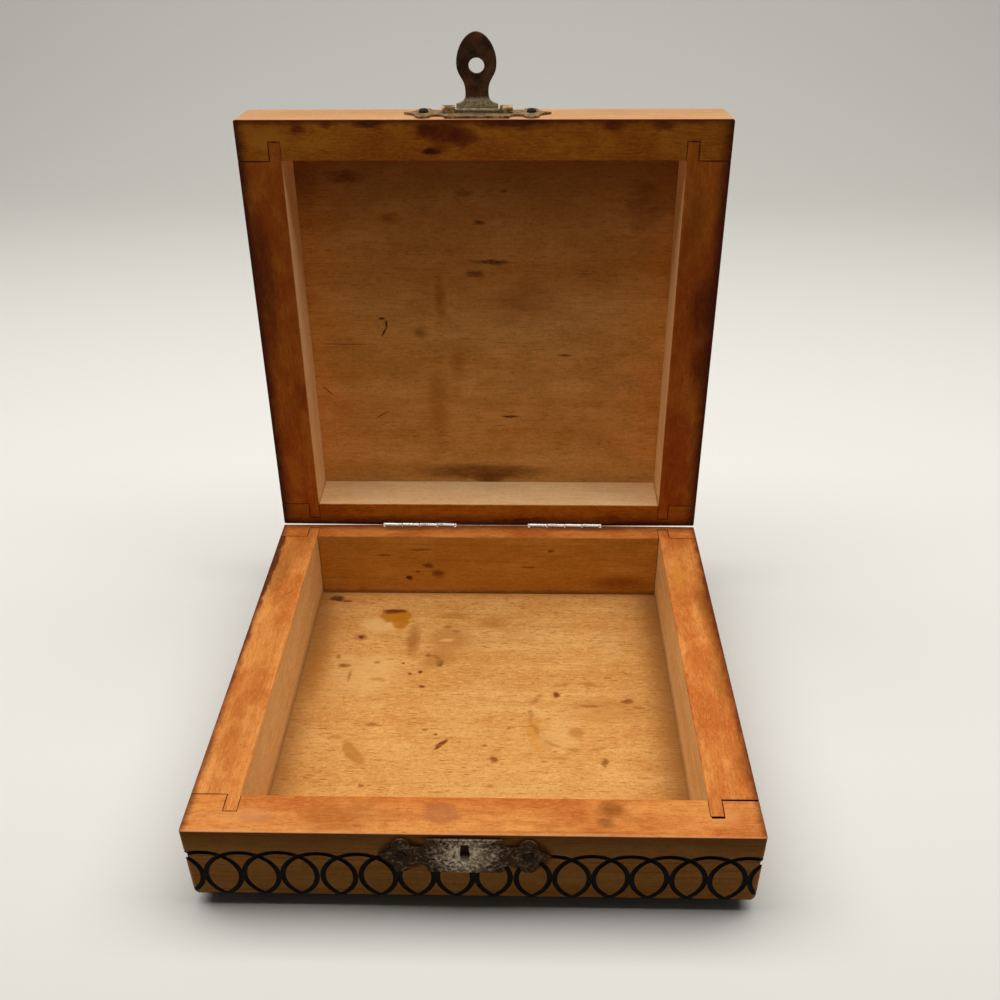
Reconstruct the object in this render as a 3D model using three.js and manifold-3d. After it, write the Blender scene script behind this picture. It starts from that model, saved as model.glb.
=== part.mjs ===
// A small wooden jewelry box, open: two glued frames with a thin panel each, two surface
// hinges nailed to the back, and a hasp on the lid that drops over a nib on the base.
// Millimetres, +Z up, the front faces -Y. The origin is the middle of the underside.

import * as THREE from 'three';
import { mergeVertices } from 'three/addons/utils/BufferGeometryUtils.js';
import Module from 'manifold-3d';

// Box
const BOX_WIDTH = 150;
const BOX_DEPTH = 143;
const BASE_WALL_HEIGHT = 25;
const LID_RAIL_HEIGHT = 16.7;
const BASE_FRONT_THICKNESS = 12.6;
const BASE_BACK_THICKNESS = 7.6;
const LID_FRONT_THICKNESS = 12.1;
const LID_BACK_THICKNESS = 8.5;
const SIDE_THICKNESS = 13.4;
const EDGE_RADIUS = 2;
const CORNER_RADIUS = 0.8;
const RIM_EASE = 0.25;

// Corner joints: a tongue on each side wall, flush with its inner face
const TONGUE_THICKNESS = 3.5;
const TONGUE_LENGTH = 5.8;
const JOINT_GAP = 0.2;

// Panels glued to the outside of the frames
const BOTTOM_PANEL_THICKNESS = 3;
const BOTTOM_PANEL_EASE = 0.5;
const LID_PANEL_THICKNESS = 4;
const LID_PANEL_EASE = 1.5;
const PANEL_INSET = 7.5;
const PANEL_CORNER = 1.5;
const GLUE_LINE = 0.1;

// Lid hinges
const LID_OPEN_ANGLE = THREE.MathUtils.degToRad(90.8);
const SEAM_GAP = 0.3;
const HINGE_SETBACK = 0.1;
const LEFT_HINGE_X = -25.1;
const RIGHT_HINGE_X = 27.9;
const HINGE_LENGTH = 25.6;
const KNUCKLE_COUNT = 4;
const KNUCKLE_GAP = 0.3;
const HINGE_SHEET = 0.4;
const HINGE_PIN_RADIUS = 0.38;
const HINGE_PIN_CLEARANCE = 0.12;
const HINGE_PIN_END = 0.4;
const BARREL_CLEARANCE = 0.15;
const LEAF_HEIGHT = 9.5;
const LEAF_CORNER = 1;

// Catch plate and hasp plate, cut to one outline
const PLATE_CENTRE_X = -1.8;
const PLATE_LENGTH = 44.8;
const PLATE_HEIGHT = 12.1;
const PLATE_FLAT = 19.4;
const PLATE_SHEET = 0.6;
const PLATE_NAIL_SPACING = 32.8;
const LOBE_RADIUS = 2.3;
const NECK_HEIGHT = 6.2;
const CATCH_EDGE_DROP = 1.3;
const HASP_EDGE_DROP = 1;
const FITTING_GAP = 0.1;

// Hasp tongue, its ears and the nib that it drops over
const HASP_LEAN = THREE.MathUtils.degToRad(8);
const HASP_PIVOT_DROP = 6.3;
const HASP_LENGTH = 22.5;
const HASP_WIDTH = 11.9;
const HASP_WIDEST = 13.8;
const HASP_NECK_WIDTH = 6.9;
const HASP_NECK = 5.5;
const HASP_FOOT_WIDTH = 12.6;
const HASP_FOOT_HEIGHT = 1.8;
const HASP_SHOULDER = 0.6;
const HASP_SHEET = 0.9;
const HASP_HOLE_RADIUS = 2.35;
const HASP_HOLE_REACH = 13;
const TRUNNION_RADIUS = 0.7;
const TRUNNION_CLEARANCE = 0.15;
const EAR_LENGTH = 3.9;
const EAR_SHEET = 0.5;
const EAR_SIDE_CLEARANCE = 0.5;
const NIB_WIDTH = 2.7;
const NIB_TIP_WIDTH = 1.9;
const NIB_REACH = 2.3;
const NIB_DROP = 1.1;
const NIB_RECESS_LENGTH = 4.2;

// Round-headed nails
const NAIL_RADIUS = 0.55;
const NAIL_POINT = 1.2;
const NAIL_HOLE_CLEARANCE = 0.15;
const PLATE_NAIL_LENGTH = 8;
const PLATE_NAIL_HEAD_RADIUS = 1.5;
const PLATE_NAIL_HEAD_HEIGHT = 1;
const HINGE_NAIL_LENGTH = 5.6;
const HINGE_NAIL_HEAD_RADIUS = 1.2;
const HINGE_NAIL_HEAD_HEIGHT = 0.5;
const HINGE_NAIL_SPACING = HINGE_LENGTH * 0.625;
const HINGE_NAIL_DROP = 5.6;

// Worked out from the sizes above
const RIM_Z = BOTTOM_PANEL_THICKNESS + GLUE_LINE + BASE_WALL_HEIGHT;
const BACK_Y = BOX_DEPTH / 2;
const FRONT_Y = -BOX_DEPTH / 2;
const HALF_SEAM = SEAM_GAP / 2;
const HINGE_AXIS = new THREE.Vector3(0, BACK_Y + HINGE_SETBACK, RIM_Z + HALF_SEAM);
const KNUCKLE_BORE = HINGE_PIN_RADIUS + HINGE_PIN_CLEARANCE;
const KNUCKLE_RADIUS = KNUCKLE_BORE + HINGE_SHEET;
const BARREL_SLOT_RADIUS = KNUCKLE_RADIUS + BARREL_CLEARANCE;
const BARREL_SLOT_LENGTH = HINGE_LENGTH + 2 * (HINGE_PIN_END + BARREL_CLEARANCE);
const LID_FRONT_Y = -HINGE_SETBACK - BOX_DEPTH;
const LID_CENTRE_Y = -HINGE_SETBACK - BOX_DEPTH / 2;
const LID_FRAME_TOP = HALF_SEAM + LID_RAIL_HEIGHT;
const CATCH_DROP = CATCH_EDGE_DROP + PLATE_HEIGHT / 2;
const HASP_PLATE_RISE = HASP_EDGE_DROP + PLATE_HEIGHT / 2;
const PIVOT_OUT = FITTING_GAP + PLATE_SHEET + TRUNNION_CLEARANCE + TRUNNION_RADIUS;
const EAR_BORE = TRUNNION_RADIUS + TRUNNION_CLEARANCE;
const EAR_START = HASP_FOOT_WIDTH / 2 + EAR_SIDE_CLEARANCE;
const NIB_BELOW_RIM = HASP_HOLE_REACH - HASP_PIVOT_DROP - SEAM_GAP + NIB_DROP;

const OVERRUN = 1;
const LEFT_RIGHT = [-1, 1];
const CURVE_SEGMENTS = 6;
const ROUND_SIDES = 12;
const KNUCKLE_SIDES = 16;
const QUARTER_TURN = Math.PI / 2;

const wasm = await Module();
wasm.setup();

// Materials
const stainedWood = new THREE.MeshStandardMaterial({ color: 0xc9793f, roughness: 0.55 });
const lidWood = new THREE.MeshStandardMaterial({ color: 0xa4622f, roughness: 0.55 });
const paleWood = new THREE.MeshStandardMaterial({ color: 0xd9a768, roughness: 0.7 });
const brightSteel = new THREE.MeshStandardMaterial({ color: 0xc9c7c2, roughness: 0.35, metalness: 1 });
const wornNickel = new THREE.MeshStandardMaterial({ color: 0x8b8378, roughness: 0.45, metalness: 1 });
const darkIron = new THREE.MeshStandardMaterial({ color: 0x33271f, roughness: 0.6, metalness: 0.8 });

// Solids and meshes
function toSolid(geometry) {
  const bare = geometry.clone();
  bare.deleteAttribute('normal');
  bare.deleteAttribute('uv');
  const merged = mergeVertices(bare);
  return new wasm.Manifold(new wasm.Mesh({
    numProp: 3,
    vertProperties: new Float32Array(merged.attributes.position.array),
    triVerts: new Uint32Array(merged.index.array),
  }));
}

function toGeometry(solid) {
  const { vertProperties, triVerts } = solid.getMesh();
  const geometry = new THREE.BufferGeometry();
  geometry.setAttribute('position', new THREE.BufferAttribute(vertProperties, 3));
  geometry.setIndex(new THREE.BufferAttribute(triVerts, 1));
  const faceted = geometry.toNonIndexed();
  faceted.computeVertexNormals();
  return faceted;
}

function addPiece(parent, name, geometry, material) {
  const mesh = new THREE.Mesh(geometry, material.clone());
  mesh.name = name;
  parent.add(mesh);
  return mesh;
}

function block(lowX, highX, lowY, highY, lowZ, highZ) {
  const geometry = new THREE.BoxGeometry(highX - lowX, highY - lowY, highZ - lowZ);
  geometry.translate((lowX + highX) / 2, (lowY + highY) / 2, (lowZ + highZ) / 2);
  return toSolid(geometry);
}

function polygon(points) {
  return new THREE.Shape(points.map(([x, y]) => new THREE.Vector2(x, y)));
}

function extrude(shape, depth, curveSegments = CURVE_SEGMENTS) {
  return new THREE.ExtrudeGeometry(shape, { depth, curveSegments, bevelEnabled: false });
}

// A rod along X, centred on the origin
function rodAlongX(radius, length, sides) {
  return new THREE.CylinderGeometry(radius, radius, length, sides).rotateZ(QUARTER_TURN);
}

// A rectangle standing on y = 0, with its own rounding at the lower and the upper corners
function easedRectangle(width, height, lowerRadius, upperRadius) {
  const half = width / 2;
  const shape = new THREE.Shape();
  shape.moveTo(-half + lowerRadius, 0);
  shape.lineTo(half - lowerRadius, 0);
  shape.absarc(half - lowerRadius, lowerRadius, lowerRadius, -QUARTER_TURN, 0);
  shape.lineTo(half, height - upperRadius);
  shape.absarc(half - upperRadius, height - upperRadius, upperRadius, 0, QUARTER_TURN);
  shape.lineTo(-half + upperRadius, height);
  shape.absarc(-half + upperRadius, height - upperRadius, upperRadius, QUARTER_TURN, Math.PI);
  shape.lineTo(-half, lowerRadius);
  shape.absarc(-half + lowerRadius, lowerRadius, lowerRadius, Math.PI, Math.PI + QUARTER_TURN);
  return shape;
}

// A slab from z = 0 up, with rounded upright corners and eased lower and upper edges
function easedSlab(width, depth, height, corner, easeBelow, easeAbove) {
  const acrossX = extrude(easedRectangle(width, height, easeBelow, easeAbove), depth);
  acrossX.rotateX(QUARTER_TURN).translate(0, depth / 2, 0);
  const acrossY = extrude(easedRectangle(depth, height, easeBelow, easeAbove), width);
  acrossY.rotateX(QUARTER_TURN).rotateZ(QUARTER_TURN).translate(-width / 2, 0, 0);
  const plan = extrude(easedRectangle(width, depth, corner, corner), height + 2 * OVERRUN);
  plan.translate(0, -depth / 2, -OVERRUN);
  return toSolid(acrossX).intersect(toSolid(acrossY)).intersect(toSolid(plan));
}

// A box opening that widens upwards: the rectangle grows by `spread` on every side
function flaredOpening(lowX, highX, lowY, highY, lowZ, highZ, spread) {
  const corners = [];
  for (const [z, grow] of [[lowZ, 0], [highZ, spread]]) {
    corners.push(lowX - grow, lowY - grow, z, highX + grow, lowY - grow, z);
    corners.push(highX + grow, highY + grow, z, lowX - grow, highY + grow, z);
  }
  const faces = [0, 2, 1, 0, 3, 2, 4, 5, 6, 4, 6, 7];
  for (let side = 0; side < 4; side += 1) {
    const next = (side + 1) % 4;
    faces.push(side, next, next + 4, side, next + 4, side + 4);
  }
  const geometry = new THREE.BufferGeometry();
  geometry.setAttribute('position', new THREE.Float32BufferAttribute(corners, 3));
  geometry.setIndex(faces);
  return toSolid(geometry);
}

// Wooden frames
// The outside of a frame: rubbed round on the panel side at z = 0, crisper towards the rim
function frameOutside(height) {
  const ball = wasm.Manifold.sphere(EDGE_RADIUS, 4 * CURVE_SEGMENTS);
  const cornerX = BOX_WIDTH / 2 - EDGE_RADIUS;
  const cornerY = BOX_DEPTH / 2 - EDGE_RADIUS;
  const balls = LEFT_RIGHT.flatMap((sideX) => LEFT_RIGHT.map((sideY) => (
    ball.translate(sideX * cornerX, sideY * cornerY, EDGE_RADIUS))));
  const rimHeight = 2 * RIM_EASE;
  const rim = easedSlab(BOX_WIDTH, BOX_DEPTH, rimHeight, CORNER_RADIUS, 0, RIM_EASE);
  return wasm.Manifold.hull([...balls, rim.translate(0, 0, height - rimHeight)]);
}

// Four walls, panel side at z = 0 and rim at z = height. The near wall is at -Y.
function frameWalls(height, nearThickness, farThickness) {
  const innerX = BOX_WIDTH / 2 - SIDE_THICKNESS;
  const nearFace = FRONT_Y + nearThickness;
  const farFace = BACK_Y - farThickness;
  const outerX = BOX_WIDTH / 2 + OVERRUN;
  const tongueX = innerX + TONGUE_THICKNESS;

  const outside = frameOutside(height);
  const rimFlare = flaredOpening(-innerX, innerX, nearFace, farFace,
    height - RIM_EASE, height + RIM_EASE, 2 * RIM_EASE);

  function finish(shape) {
    const bar = toSolid(extrude(shape, height + 2 * OVERRUN).translate(0, 0, -OVERRUN));
    return outside.intersect(bar).subtract(rimFlare);
  }

  // Runs the full width, with a slot near each end for a side wall's tongue
  function crossWall(outerY, face, inward) {
    const slotEnd = face - inward * TONGUE_LENGTH;
    const points = [[-outerX, outerY], [outerX, outerY], [outerX, face]];
    for (const side of [1, -1]) {
      const first = side > 0 ? tongueX + JOINT_GAP : innerX - JOINT_GAP;
      const second = side > 0 ? innerX - JOINT_GAP : tongueX + JOINT_GAP;
      points.push([side * first, face], [side * first, slotEnd]);
      points.push([side * second, slotEnd], [side * second, face]);
    }
    points.push([-outerX, face]);
    return finish(polygon(points));
  }

  // Runs between the cross walls, with a tongue at each end
  function sideWall(side) {
    const nearShoulder = nearFace + JOINT_GAP;
    const farShoulder = farFace - JOINT_GAP;
    const points = [
      [outerX, nearShoulder], [outerX, farShoulder],
      [tongueX, farShoulder], [tongueX, farShoulder + TONGUE_LENGTH],
      [innerX, farShoulder + TONGUE_LENGTH], [innerX, nearShoulder - TONGUE_LENGTH],
      [tongueX, nearShoulder - TONGUE_LENGTH], [tongueX, nearShoulder],
    ];
    return finish(polygon(points.map(([x, y]) => [side * x, y])));
  }

  return {
    near: crossWall(FRONT_Y - OVERRUN, nearFace, 1),
    far: crossWall(BACK_Y + OVERRUN, farFace, -1),
    left: sideWall(-1),
    right: sideWall(1),
  };
}

// Nails
// The nail's axis is Z: the head sits on z = 0 and the point goes down.
function nailGeometry(length, headRadius, headHeight) {
  const profile = new THREE.Path();
  profile.moveTo(0, -length);
  profile.lineTo(NAIL_RADIUS, NAIL_POINT - length);
  profile.lineTo(NAIL_RADIUS, 0);
  profile.lineTo(headRadius, 0);
  profile.lineTo(headRadius, headHeight / 3);
  profile.quadraticCurveTo(headRadius, headHeight, 0, headHeight);
  return new THREE.LatheGeometry(profile.getPoints(3), ROUND_SIDES).rotateX(QUARTER_TURN);
}

// A hole along Y from `mouthY`, drilled towards +Y or -Y
function nailHole(x, mouthY, z, direction, depth) {
  const radius = NAIL_RADIUS + NAIL_HOLE_CLEARANCE;
  const length = depth + OVERRUN;
  const geometry = new THREE.CylinderGeometry(radius, radius, length, ROUND_SIDES);
  geometry.translate(x, mouthY + direction * (length / 2 - OVERRUN), z);
  return toSolid(geometry);
}

function drill(solid, places, mouthY, direction, depth) {
  return places.reduce((rest, [x, z]) => rest.subtract(nailHole(x, mouthY, z, direction, depth)), solid);
}

// Hinges
const HINGES = [['left', LEFT_HINGE_X], ['right', RIGHT_HINGE_X]];

// Places of the hinge nails; `above` is 1 for the lid's leaves and -1 for the base's
function hingeNailPlaces(axisZ, above) {
  return HINGES.flatMap(([, hingeX]) => LEFT_RIGHT.map((side) => [
    hingeX + side * HINGE_NAIL_SPACING / 2, axisZ + above * HINGE_NAIL_DROP,
  ]));
}

// A round slot for each hinge's barrel, along the edge where the pins run
function seatBarrels(solid, axisY, axisZ) {
  return HINGES.reduce((rest, [, hingeX]) => {
    const slot = rodAlongX(BARREL_SLOT_RADIUS, BARREL_SLOT_LENGTH, KNUCKLE_SIDES);
    return rest.subtract(toSolid(slot.translate(hingeX, axisY, axisZ)));
  }, solid);
}

// One leaf, hanging down from the pin axis at the origin, with every other knuckle
function hingeLeaf() {
  const half = HINGE_LENGTH / 2;
  const segment = HINGE_LENGTH / KNUCKLE_COUNT;
  const knuckleLength = segment - KNUCKLE_GAP;
  const innerY = FITTING_GAP - HINGE_SETBACK;
  const shape = new THREE.Shape();
  const plateTop = -KNUCKLE_RADIUS - KNUCKLE_GAP;
  shape.moveTo(-half, plateTop);
  shape.lineTo(-half, LEAF_CORNER - LEAF_HEIGHT);
  shape.absarc(LEAF_CORNER - half, LEAF_CORNER - LEAF_HEIGHT, LEAF_CORNER, Math.PI, 1.5 * Math.PI);
  shape.lineTo(half - LEAF_CORNER, -LEAF_HEIGHT);
  shape.absarc(half - LEAF_CORNER, LEAF_CORNER - LEAF_HEIGHT, LEAF_CORNER, -QUARTER_TURN, 0);
  shape.lineTo(half, plateTop);
  for (const side of LEFT_RIGHT) {
    const hole = new THREE.Path();
    const holeRadius = NAIL_RADIUS + NAIL_HOLE_CLEARANCE;
    hole.absarc(side * HINGE_NAIL_SPACING / 2, -HINGE_NAIL_DROP, holeRadius, 0, 2 * Math.PI);
    shape.holes.push(hole);
  }
  const plate = extrude(shape, HINGE_SHEET).rotateX(QUARTER_TURN);
  let leaf = toSolid(plate.translate(0, innerY + HINGE_SHEET, 0));
  for (let index = 0; index < KNUCKLE_COUNT; index += 2) {
    const middle = (index + 0.5) * segment - half;
    const low = middle - knuckleLength / 2;
    const high = middle + knuckleLength / 2;
    leaf = leaf.add(block(low, high, innerY, innerY + HINGE_SHEET, plateTop - HINGE_SHEET, 0));
    leaf = leaf.add(toSolid(rodAlongX(KNUCKLE_RADIUS, knuckleLength, KNUCKLE_SIDES).translate(middle, 0, 0)));
  }
  return toGeometry(leaf.subtract(toSolid(rodAlongX(KNUCKLE_BORE, HINGE_LENGTH + OVERRUN, KNUCKLE_SIDES))));
}

// The catch and hasp plates
// Their frame: X along the box, Y up the face, Z out of the face, centred between the nails.
function plateShape() {
  const top = PLATE_HEIGHT / 2;
  const neck = NECK_HEIGHT / 2;
  const flat = PLATE_FLAT / 2;
  const nail = PLATE_NAIL_SPACING / 2;
  const tip = PLATE_LENGTH / 2;
  const lobeY = top - LOBE_RADIUS;
  const neckX = (flat + nail - LOBE_RADIUS) / 2;
  const barb = nail + LOBE_RADIUS;
  const shape = new THREE.Shape();
  shape.moveTo(-flat, top);
  for (const turn of [1, -1]) {
    const flip = turn > 0 ? 0 : Math.PI;
    shape.lineTo(turn * flat, turn * top);
    shape.quadraticCurveTo(turn * flat, turn * neck, turn * neckX, turn * neck);
    shape.quadraticCurveTo(turn * (nail - LOBE_RADIUS), turn * neck,
      turn * (nail - LOBE_RADIUS), turn * lobeY);
    shape.absarc(turn * nail, turn * lobeY, LOBE_RADIUS, Math.PI + flip, flip, true);
    shape.quadraticCurveTo(turn * barb, turn * lobeY / 3, turn * tip, 0);
    shape.quadraticCurveTo(turn * barb, -turn * lobeY / 3, turn * barb, -turn * lobeY);
    shape.absarc(turn * nail, -turn * lobeY, LOBE_RADIUS, flip, Math.PI + flip, true);
    shape.quadraticCurveTo(turn * (nail - LOBE_RADIUS), -turn * neck, turn * neckX, -turn * neck);
    shape.quadraticCurveTo(turn * flat, -turn * neck, turn * flat, -turn * top);
  }
  for (const side of LEFT_RIGHT) {
    const hole = new THREE.Path();
    hole.absarc(side * nail, 0, NAIL_RADIUS + NAIL_HOLE_CLEARANCE, 0, 2 * Math.PI);
    shape.holes.push(hole);
  }
  return shape;
}

// The catch's nib is a tab pushed out of the sheet, which leaves a recess above it.
function catchPlate() {
  const nibY = CATCH_DROP - NIB_BELOW_RIM;
  const nibTop = nibY + PLATE_SHEET / 2;
  const root = NIB_WIDTH / 2;
  const end = NIB_TIP_WIDTH / 2;
  const shape = plateShape();
  shape.holes.push(polygon([
    [-root, nibTop], [root, nibTop], [end, nibTop + NIB_RECESS_LENGTH], [-end, nibTop + NIB_RECESS_LENGTH],
  ]));
  const tab = new THREE.Shape();
  const shoulder = PLATE_SHEET + NIB_REACH - end;
  tab.moveTo(-root, 0);
  tab.lineTo(root, 0);
  tab.lineTo(end, shoulder);
  tab.absarc(0, shoulder, end, 0, Math.PI);
  const nib = extrude(tab, PLATE_SHEET).rotateX(QUARTER_TURN).translate(0, nibTop, 0);
  return toGeometry(toSolid(extrude(shape, PLATE_SHEET)).add(toSolid(nib)));
}

// The hasp's plate has two rolled ears that hold the tongue's trunnions.
function haspPlate() {
  const pivotY = HASP_PIVOT_DROP - HASP_PLATE_RISE;
  const pivotZ = PIVOT_OUT - FITTING_GAP;
  const outer = EAR_BORE + EAR_SHEET;
  const foot = PLATE_SHEET / 2;
  const arch = new THREE.Shape();
  arch.moveTo(outer, foot);
  arch.lineTo(outer, pivotZ);
  arch.absarc(0, pivotZ, outer, 0, Math.PI);
  arch.lineTo(-outer, foot);
  arch.lineTo(-EAR_BORE, foot);
  arch.lineTo(-EAR_BORE, pivotZ);
  arch.absarc(0, pivotZ, EAR_BORE, Math.PI, 0, true);
  arch.lineTo(EAR_BORE, foot);
  let plate = toSolid(extrude(plateShape(), PLATE_SHEET));
  for (const start of [EAR_START, -EAR_START - EAR_LENGTH]) {
    const ear = extrude(arch, EAR_LENGTH, 8).rotateX(QUARTER_TURN).rotateZ(QUARTER_TURN);
    plate = plate.add(toSolid(ear.translate(start, pivotY, 0)));
  }
  return toGeometry(plate);
}

// The tongue lies in XY with its pivot at the origin and its tip towards +Y.
function haspTongue() {
  const foot = HASP_FOOT_WIDTH / 2;
  const neck = HASP_NECK_WIDTH / 2;
  const wide = HASP_WIDTH / 2;
  const shape = new THREE.Shape();
  const belowNeck = (HASP_FOOT_HEIGHT + HASP_NECK) / 2;
  const swell = (HASP_NECK + HASP_WIDEST) / 2;
  const crown = (HASP_WIDEST + HASP_LENGTH) / 2;
  shape.moveTo(-foot, 0);
  shape.lineTo(foot, 0);
  shape.lineTo(foot, HASP_FOOT_HEIGHT);
  shape.bezierCurveTo(neck, HASP_FOOT_HEIGHT + HASP_SHOULDER, neck, belowNeck, neck, HASP_NECK);
  shape.bezierCurveTo(neck, swell, wide, swell, wide, HASP_WIDEST);
  shape.bezierCurveTo(wide, crown, wide / 2, HASP_LENGTH, 0, HASP_LENGTH);
  shape.bezierCurveTo(-wide / 2, HASP_LENGTH, -wide, crown, -wide, HASP_WIDEST);
  shape.bezierCurveTo(-wide, swell, -neck, swell, -neck, HASP_NECK);
  shape.bezierCurveTo(-neck, belowNeck, -neck, HASP_FOOT_HEIGHT + HASP_SHOULDER, -foot, HASP_FOOT_HEIGHT);
  const hole = new THREE.Path();
  hole.absarc(0, HASP_HOLE_REACH, HASP_HOLE_RADIUS, 0, 2 * Math.PI);
  shape.holes.push(hole);
  const sheet = extrude(shape, HASP_SHEET, 8).translate(0, 0, -HASP_SHEET / 2);
  const barLength = 2 * (EAR_START + EAR_LENGTH) - 2 * EAR_SIDE_CLEARANCE;
  return toGeometry(toSolid(sheet).add(toSolid(rodAlongX(TRUNNION_RADIUS, barLength, ROUND_SIDES))));
}

// Assembly
const jewelryBox = new THREE.Group();
const lid = new THREE.Group();
lid.position.copy(HINGE_AXIS);
lid.rotation.x = -LID_OPEN_ANGLE;
jewelryBox.add(lid);

const plateNailPlaces = (z) => LEFT_RIGHT.map((side) => [PLATE_CENTRE_X + side * PLATE_NAIL_SPACING / 2, z]);

// Base
const panelWidth = BOX_WIDTH - 2 * PANEL_INSET;
const panelDepth = BOX_DEPTH - 2 * PANEL_INSET;
const baseLift = BOTTOM_PANEL_THICKNESS + GLUE_LINE;
const baseWalls = frameWalls(BASE_WALL_HEIGHT, BASE_FRONT_THICKNESS, BASE_BACK_THICKNESS);
const baseFront = drill(baseWalls.near, plateNailPlaces(BASE_WALL_HEIGHT - CATCH_DROP),
  FRONT_Y, 1, PLATE_NAIL_LENGTH);
const seatedBase = seatBarrels(baseWalls.far, BACK_Y + HINGE_SETBACK, BASE_WALL_HEIGHT + HALF_SEAM);
const baseBack = drill(seatedBase, hingeNailPlaces(BASE_WALL_HEIGHT + HALF_SEAM, -1),
  BACK_Y, -1, HINGE_NAIL_LENGTH);
const baseParts = [
  ['base_front_wall', baseFront], ['base_back_wall', baseBack],
  ['base_left_wall', baseWalls.left], ['base_right_wall', baseWalls.right],
];
for (const [name, solid] of baseParts) {
  addPiece(jewelryBox, name, toGeometry(solid), stainedWood).position.z = baseLift;
}
const bottomPanel = easedSlab(panelWidth, panelDepth, BOTTOM_PANEL_THICKNESS, PANEL_CORNER,
  BOTTOM_PANEL_EASE, BOTTOM_PANEL_EASE);
addPiece(jewelryBox, 'base_bottom_panel', toGeometry(bottomPanel), paleWood);

// Lid, in the frame of its hinge axis. The frame is made rim up and then turned over.
const turnOver = new THREE.Matrix4().makeRotationX(Math.PI);
const lidPlace = new THREE.Matrix4().makeTranslation(0, LID_CENTRE_Y, LID_FRAME_TOP).multiply(turnOver);
const lidWalls = frameWalls(LID_RAIL_HEIGHT, LID_BACK_THICKNESS, LID_FRONT_THICKNESS);
const lidFront = drill(lidWalls.far, plateNailPlaces(LID_RAIL_HEIGHT - HASP_PLATE_RISE),
  BACK_Y, -1, PLATE_NAIL_LENGTH);
const seatedLid = seatBarrels(lidWalls.near, FRONT_Y - HINGE_SETBACK, LID_RAIL_HEIGHT + HALF_SEAM);
const lidBack = drill(seatedLid, hingeNailPlaces(LID_RAIL_HEIGHT + HALF_SEAM, -1),
  FRONT_Y, 1, HINGE_NAIL_LENGTH);
const lidParts = [
  ['lid_front_rail', lidFront], ['lid_back_rail', lidBack],
  ['lid_left_rail', lidWalls.left], ['lid_right_rail', lidWalls.right],
];
for (const [name, solid] of lidParts) {
  addPiece(lid, name, toGeometry(solid).applyMatrix4(lidPlace), lidWood);
}
const topPanel = easedSlab(panelWidth, panelDepth, LID_PANEL_THICKNESS, PANEL_CORNER, 0, LID_PANEL_EASE);
const topPiece = addPiece(lid, 'lid_top_panel', toGeometry(topPanel), lidWood);
topPiece.position.set(0, LID_CENTRE_Y, LID_FRAME_TOP + GLUE_LINE);

// Hinges: the lid's leaf is the base's leaf turned half round about Y, so the knuckles interleave
const leafGeometry = hingeLeaf();
const pinGeometry = rodAlongX(HINGE_PIN_RADIUS, HINGE_LENGTH + 2 * HINGE_PIN_END, ROUND_SIDES);
const hingeNail = nailGeometry(HINGE_NAIL_LENGTH, HINGE_NAIL_HEAD_RADIUS, HINGE_NAIL_HEAD_HEIGHT);
const leafFaceY = 2 * FITTING_GAP + HINGE_SHEET - HINGE_SETBACK;
for (const [side, hingeX] of HINGES) {
  const baseLeaf = addPiece(jewelryBox, `${side}_hinge_base_leaf`, leafGeometry, brightSteel);
  baseLeaf.position.set(hingeX, HINGE_AXIS.y, HINGE_AXIS.z);
  const lidLeaf = addPiece(lid, `${side}_hinge_lid_leaf`, leafGeometry, brightSteel);
  lidLeaf.position.x = hingeX;
  lidLeaf.rotation.y = Math.PI;
  const pin = addPiece(jewelryBox, `${side}_hinge_pin`, pinGeometry, brightSteel);
  pin.position.set(hingeX, HINGE_AXIS.y, HINGE_AXIS.z);
  LEFT_RIGHT.forEach((nailSide, index) => {
    const nailX = hingeX + nailSide * HINGE_NAIL_SPACING / 2;
    const baseNail = addPiece(jewelryBox, `${side}_hinge_base_nail_${index + 1}`, hingeNail, darkIron);
    baseNail.position.set(nailX, HINGE_AXIS.y + leafFaceY, HINGE_AXIS.z - HINGE_NAIL_DROP);
    baseNail.rotation.x = -QUARTER_TURN;
    const lidNail = addPiece(lid, `${side}_hinge_lid_nail_${index + 1}`, hingeNail, darkIron);
    lidNail.position.set(nailX, leafFaceY, HINGE_NAIL_DROP);
    lidNail.rotation.x = -QUARTER_TURN;
  });
}

// Catch on the base, hasp plate and tongue on the lid
const plateNail = nailGeometry(PLATE_NAIL_LENGTH, PLATE_NAIL_HEAD_RADIUS, PLATE_NAIL_HEAD_HEIGHT);
function frontFitting(parent, faceY, centreZ, plateName, plateGeometry, nailPrefix) {
  const fitting = new THREE.Group();
  fitting.position.set(PLATE_CENTRE_X, faceY - FITTING_GAP, centreZ);
  fitting.rotation.x = QUARTER_TURN;
  parent.add(fitting);
  addPiece(fitting, plateName, plateGeometry, wornNickel);
  LEFT_RIGHT.forEach((side, index) => {
    const nail = addPiece(fitting, `${nailPrefix}_${['left', 'right'][index]}`, plateNail, darkIron);
    nail.position.set(side * PLATE_NAIL_SPACING / 2, 0, PLATE_SHEET + FITTING_GAP);
  });
  return fitting;
}
frontFitting(jewelryBox, FRONT_Y, RIM_Z - CATCH_DROP, 'catch_plate', catchPlate(), 'catch_nail');
frontFitting(lid, LID_FRONT_Y, HALF_SEAM + HASP_PLATE_RISE, 'hasp_plate', haspPlate(), 'hasp_plate_nail');

const hasp = new THREE.Group();
hasp.position.set(PLATE_CENTRE_X, LID_FRONT_Y - PIVOT_OUT, HALF_SEAM + HASP_PIVOT_DROP);
hasp.rotation.x = Math.PI + HASP_LEAN;
lid.add(hasp);
addPiece(hasp, 'hasp_tongue', haspTongue(), darkIron);

export default jewelryBox;
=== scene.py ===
"""A small wooden jewelry box, open, with a carved ring chain, stained rims and worn fittings.

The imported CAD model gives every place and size. Each node is copied, eased and given its finish.
The script works in metres with +Z up and the front towards -Y; its constants are millimetres.
"""
import math
from typing import NamedTuple

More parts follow.
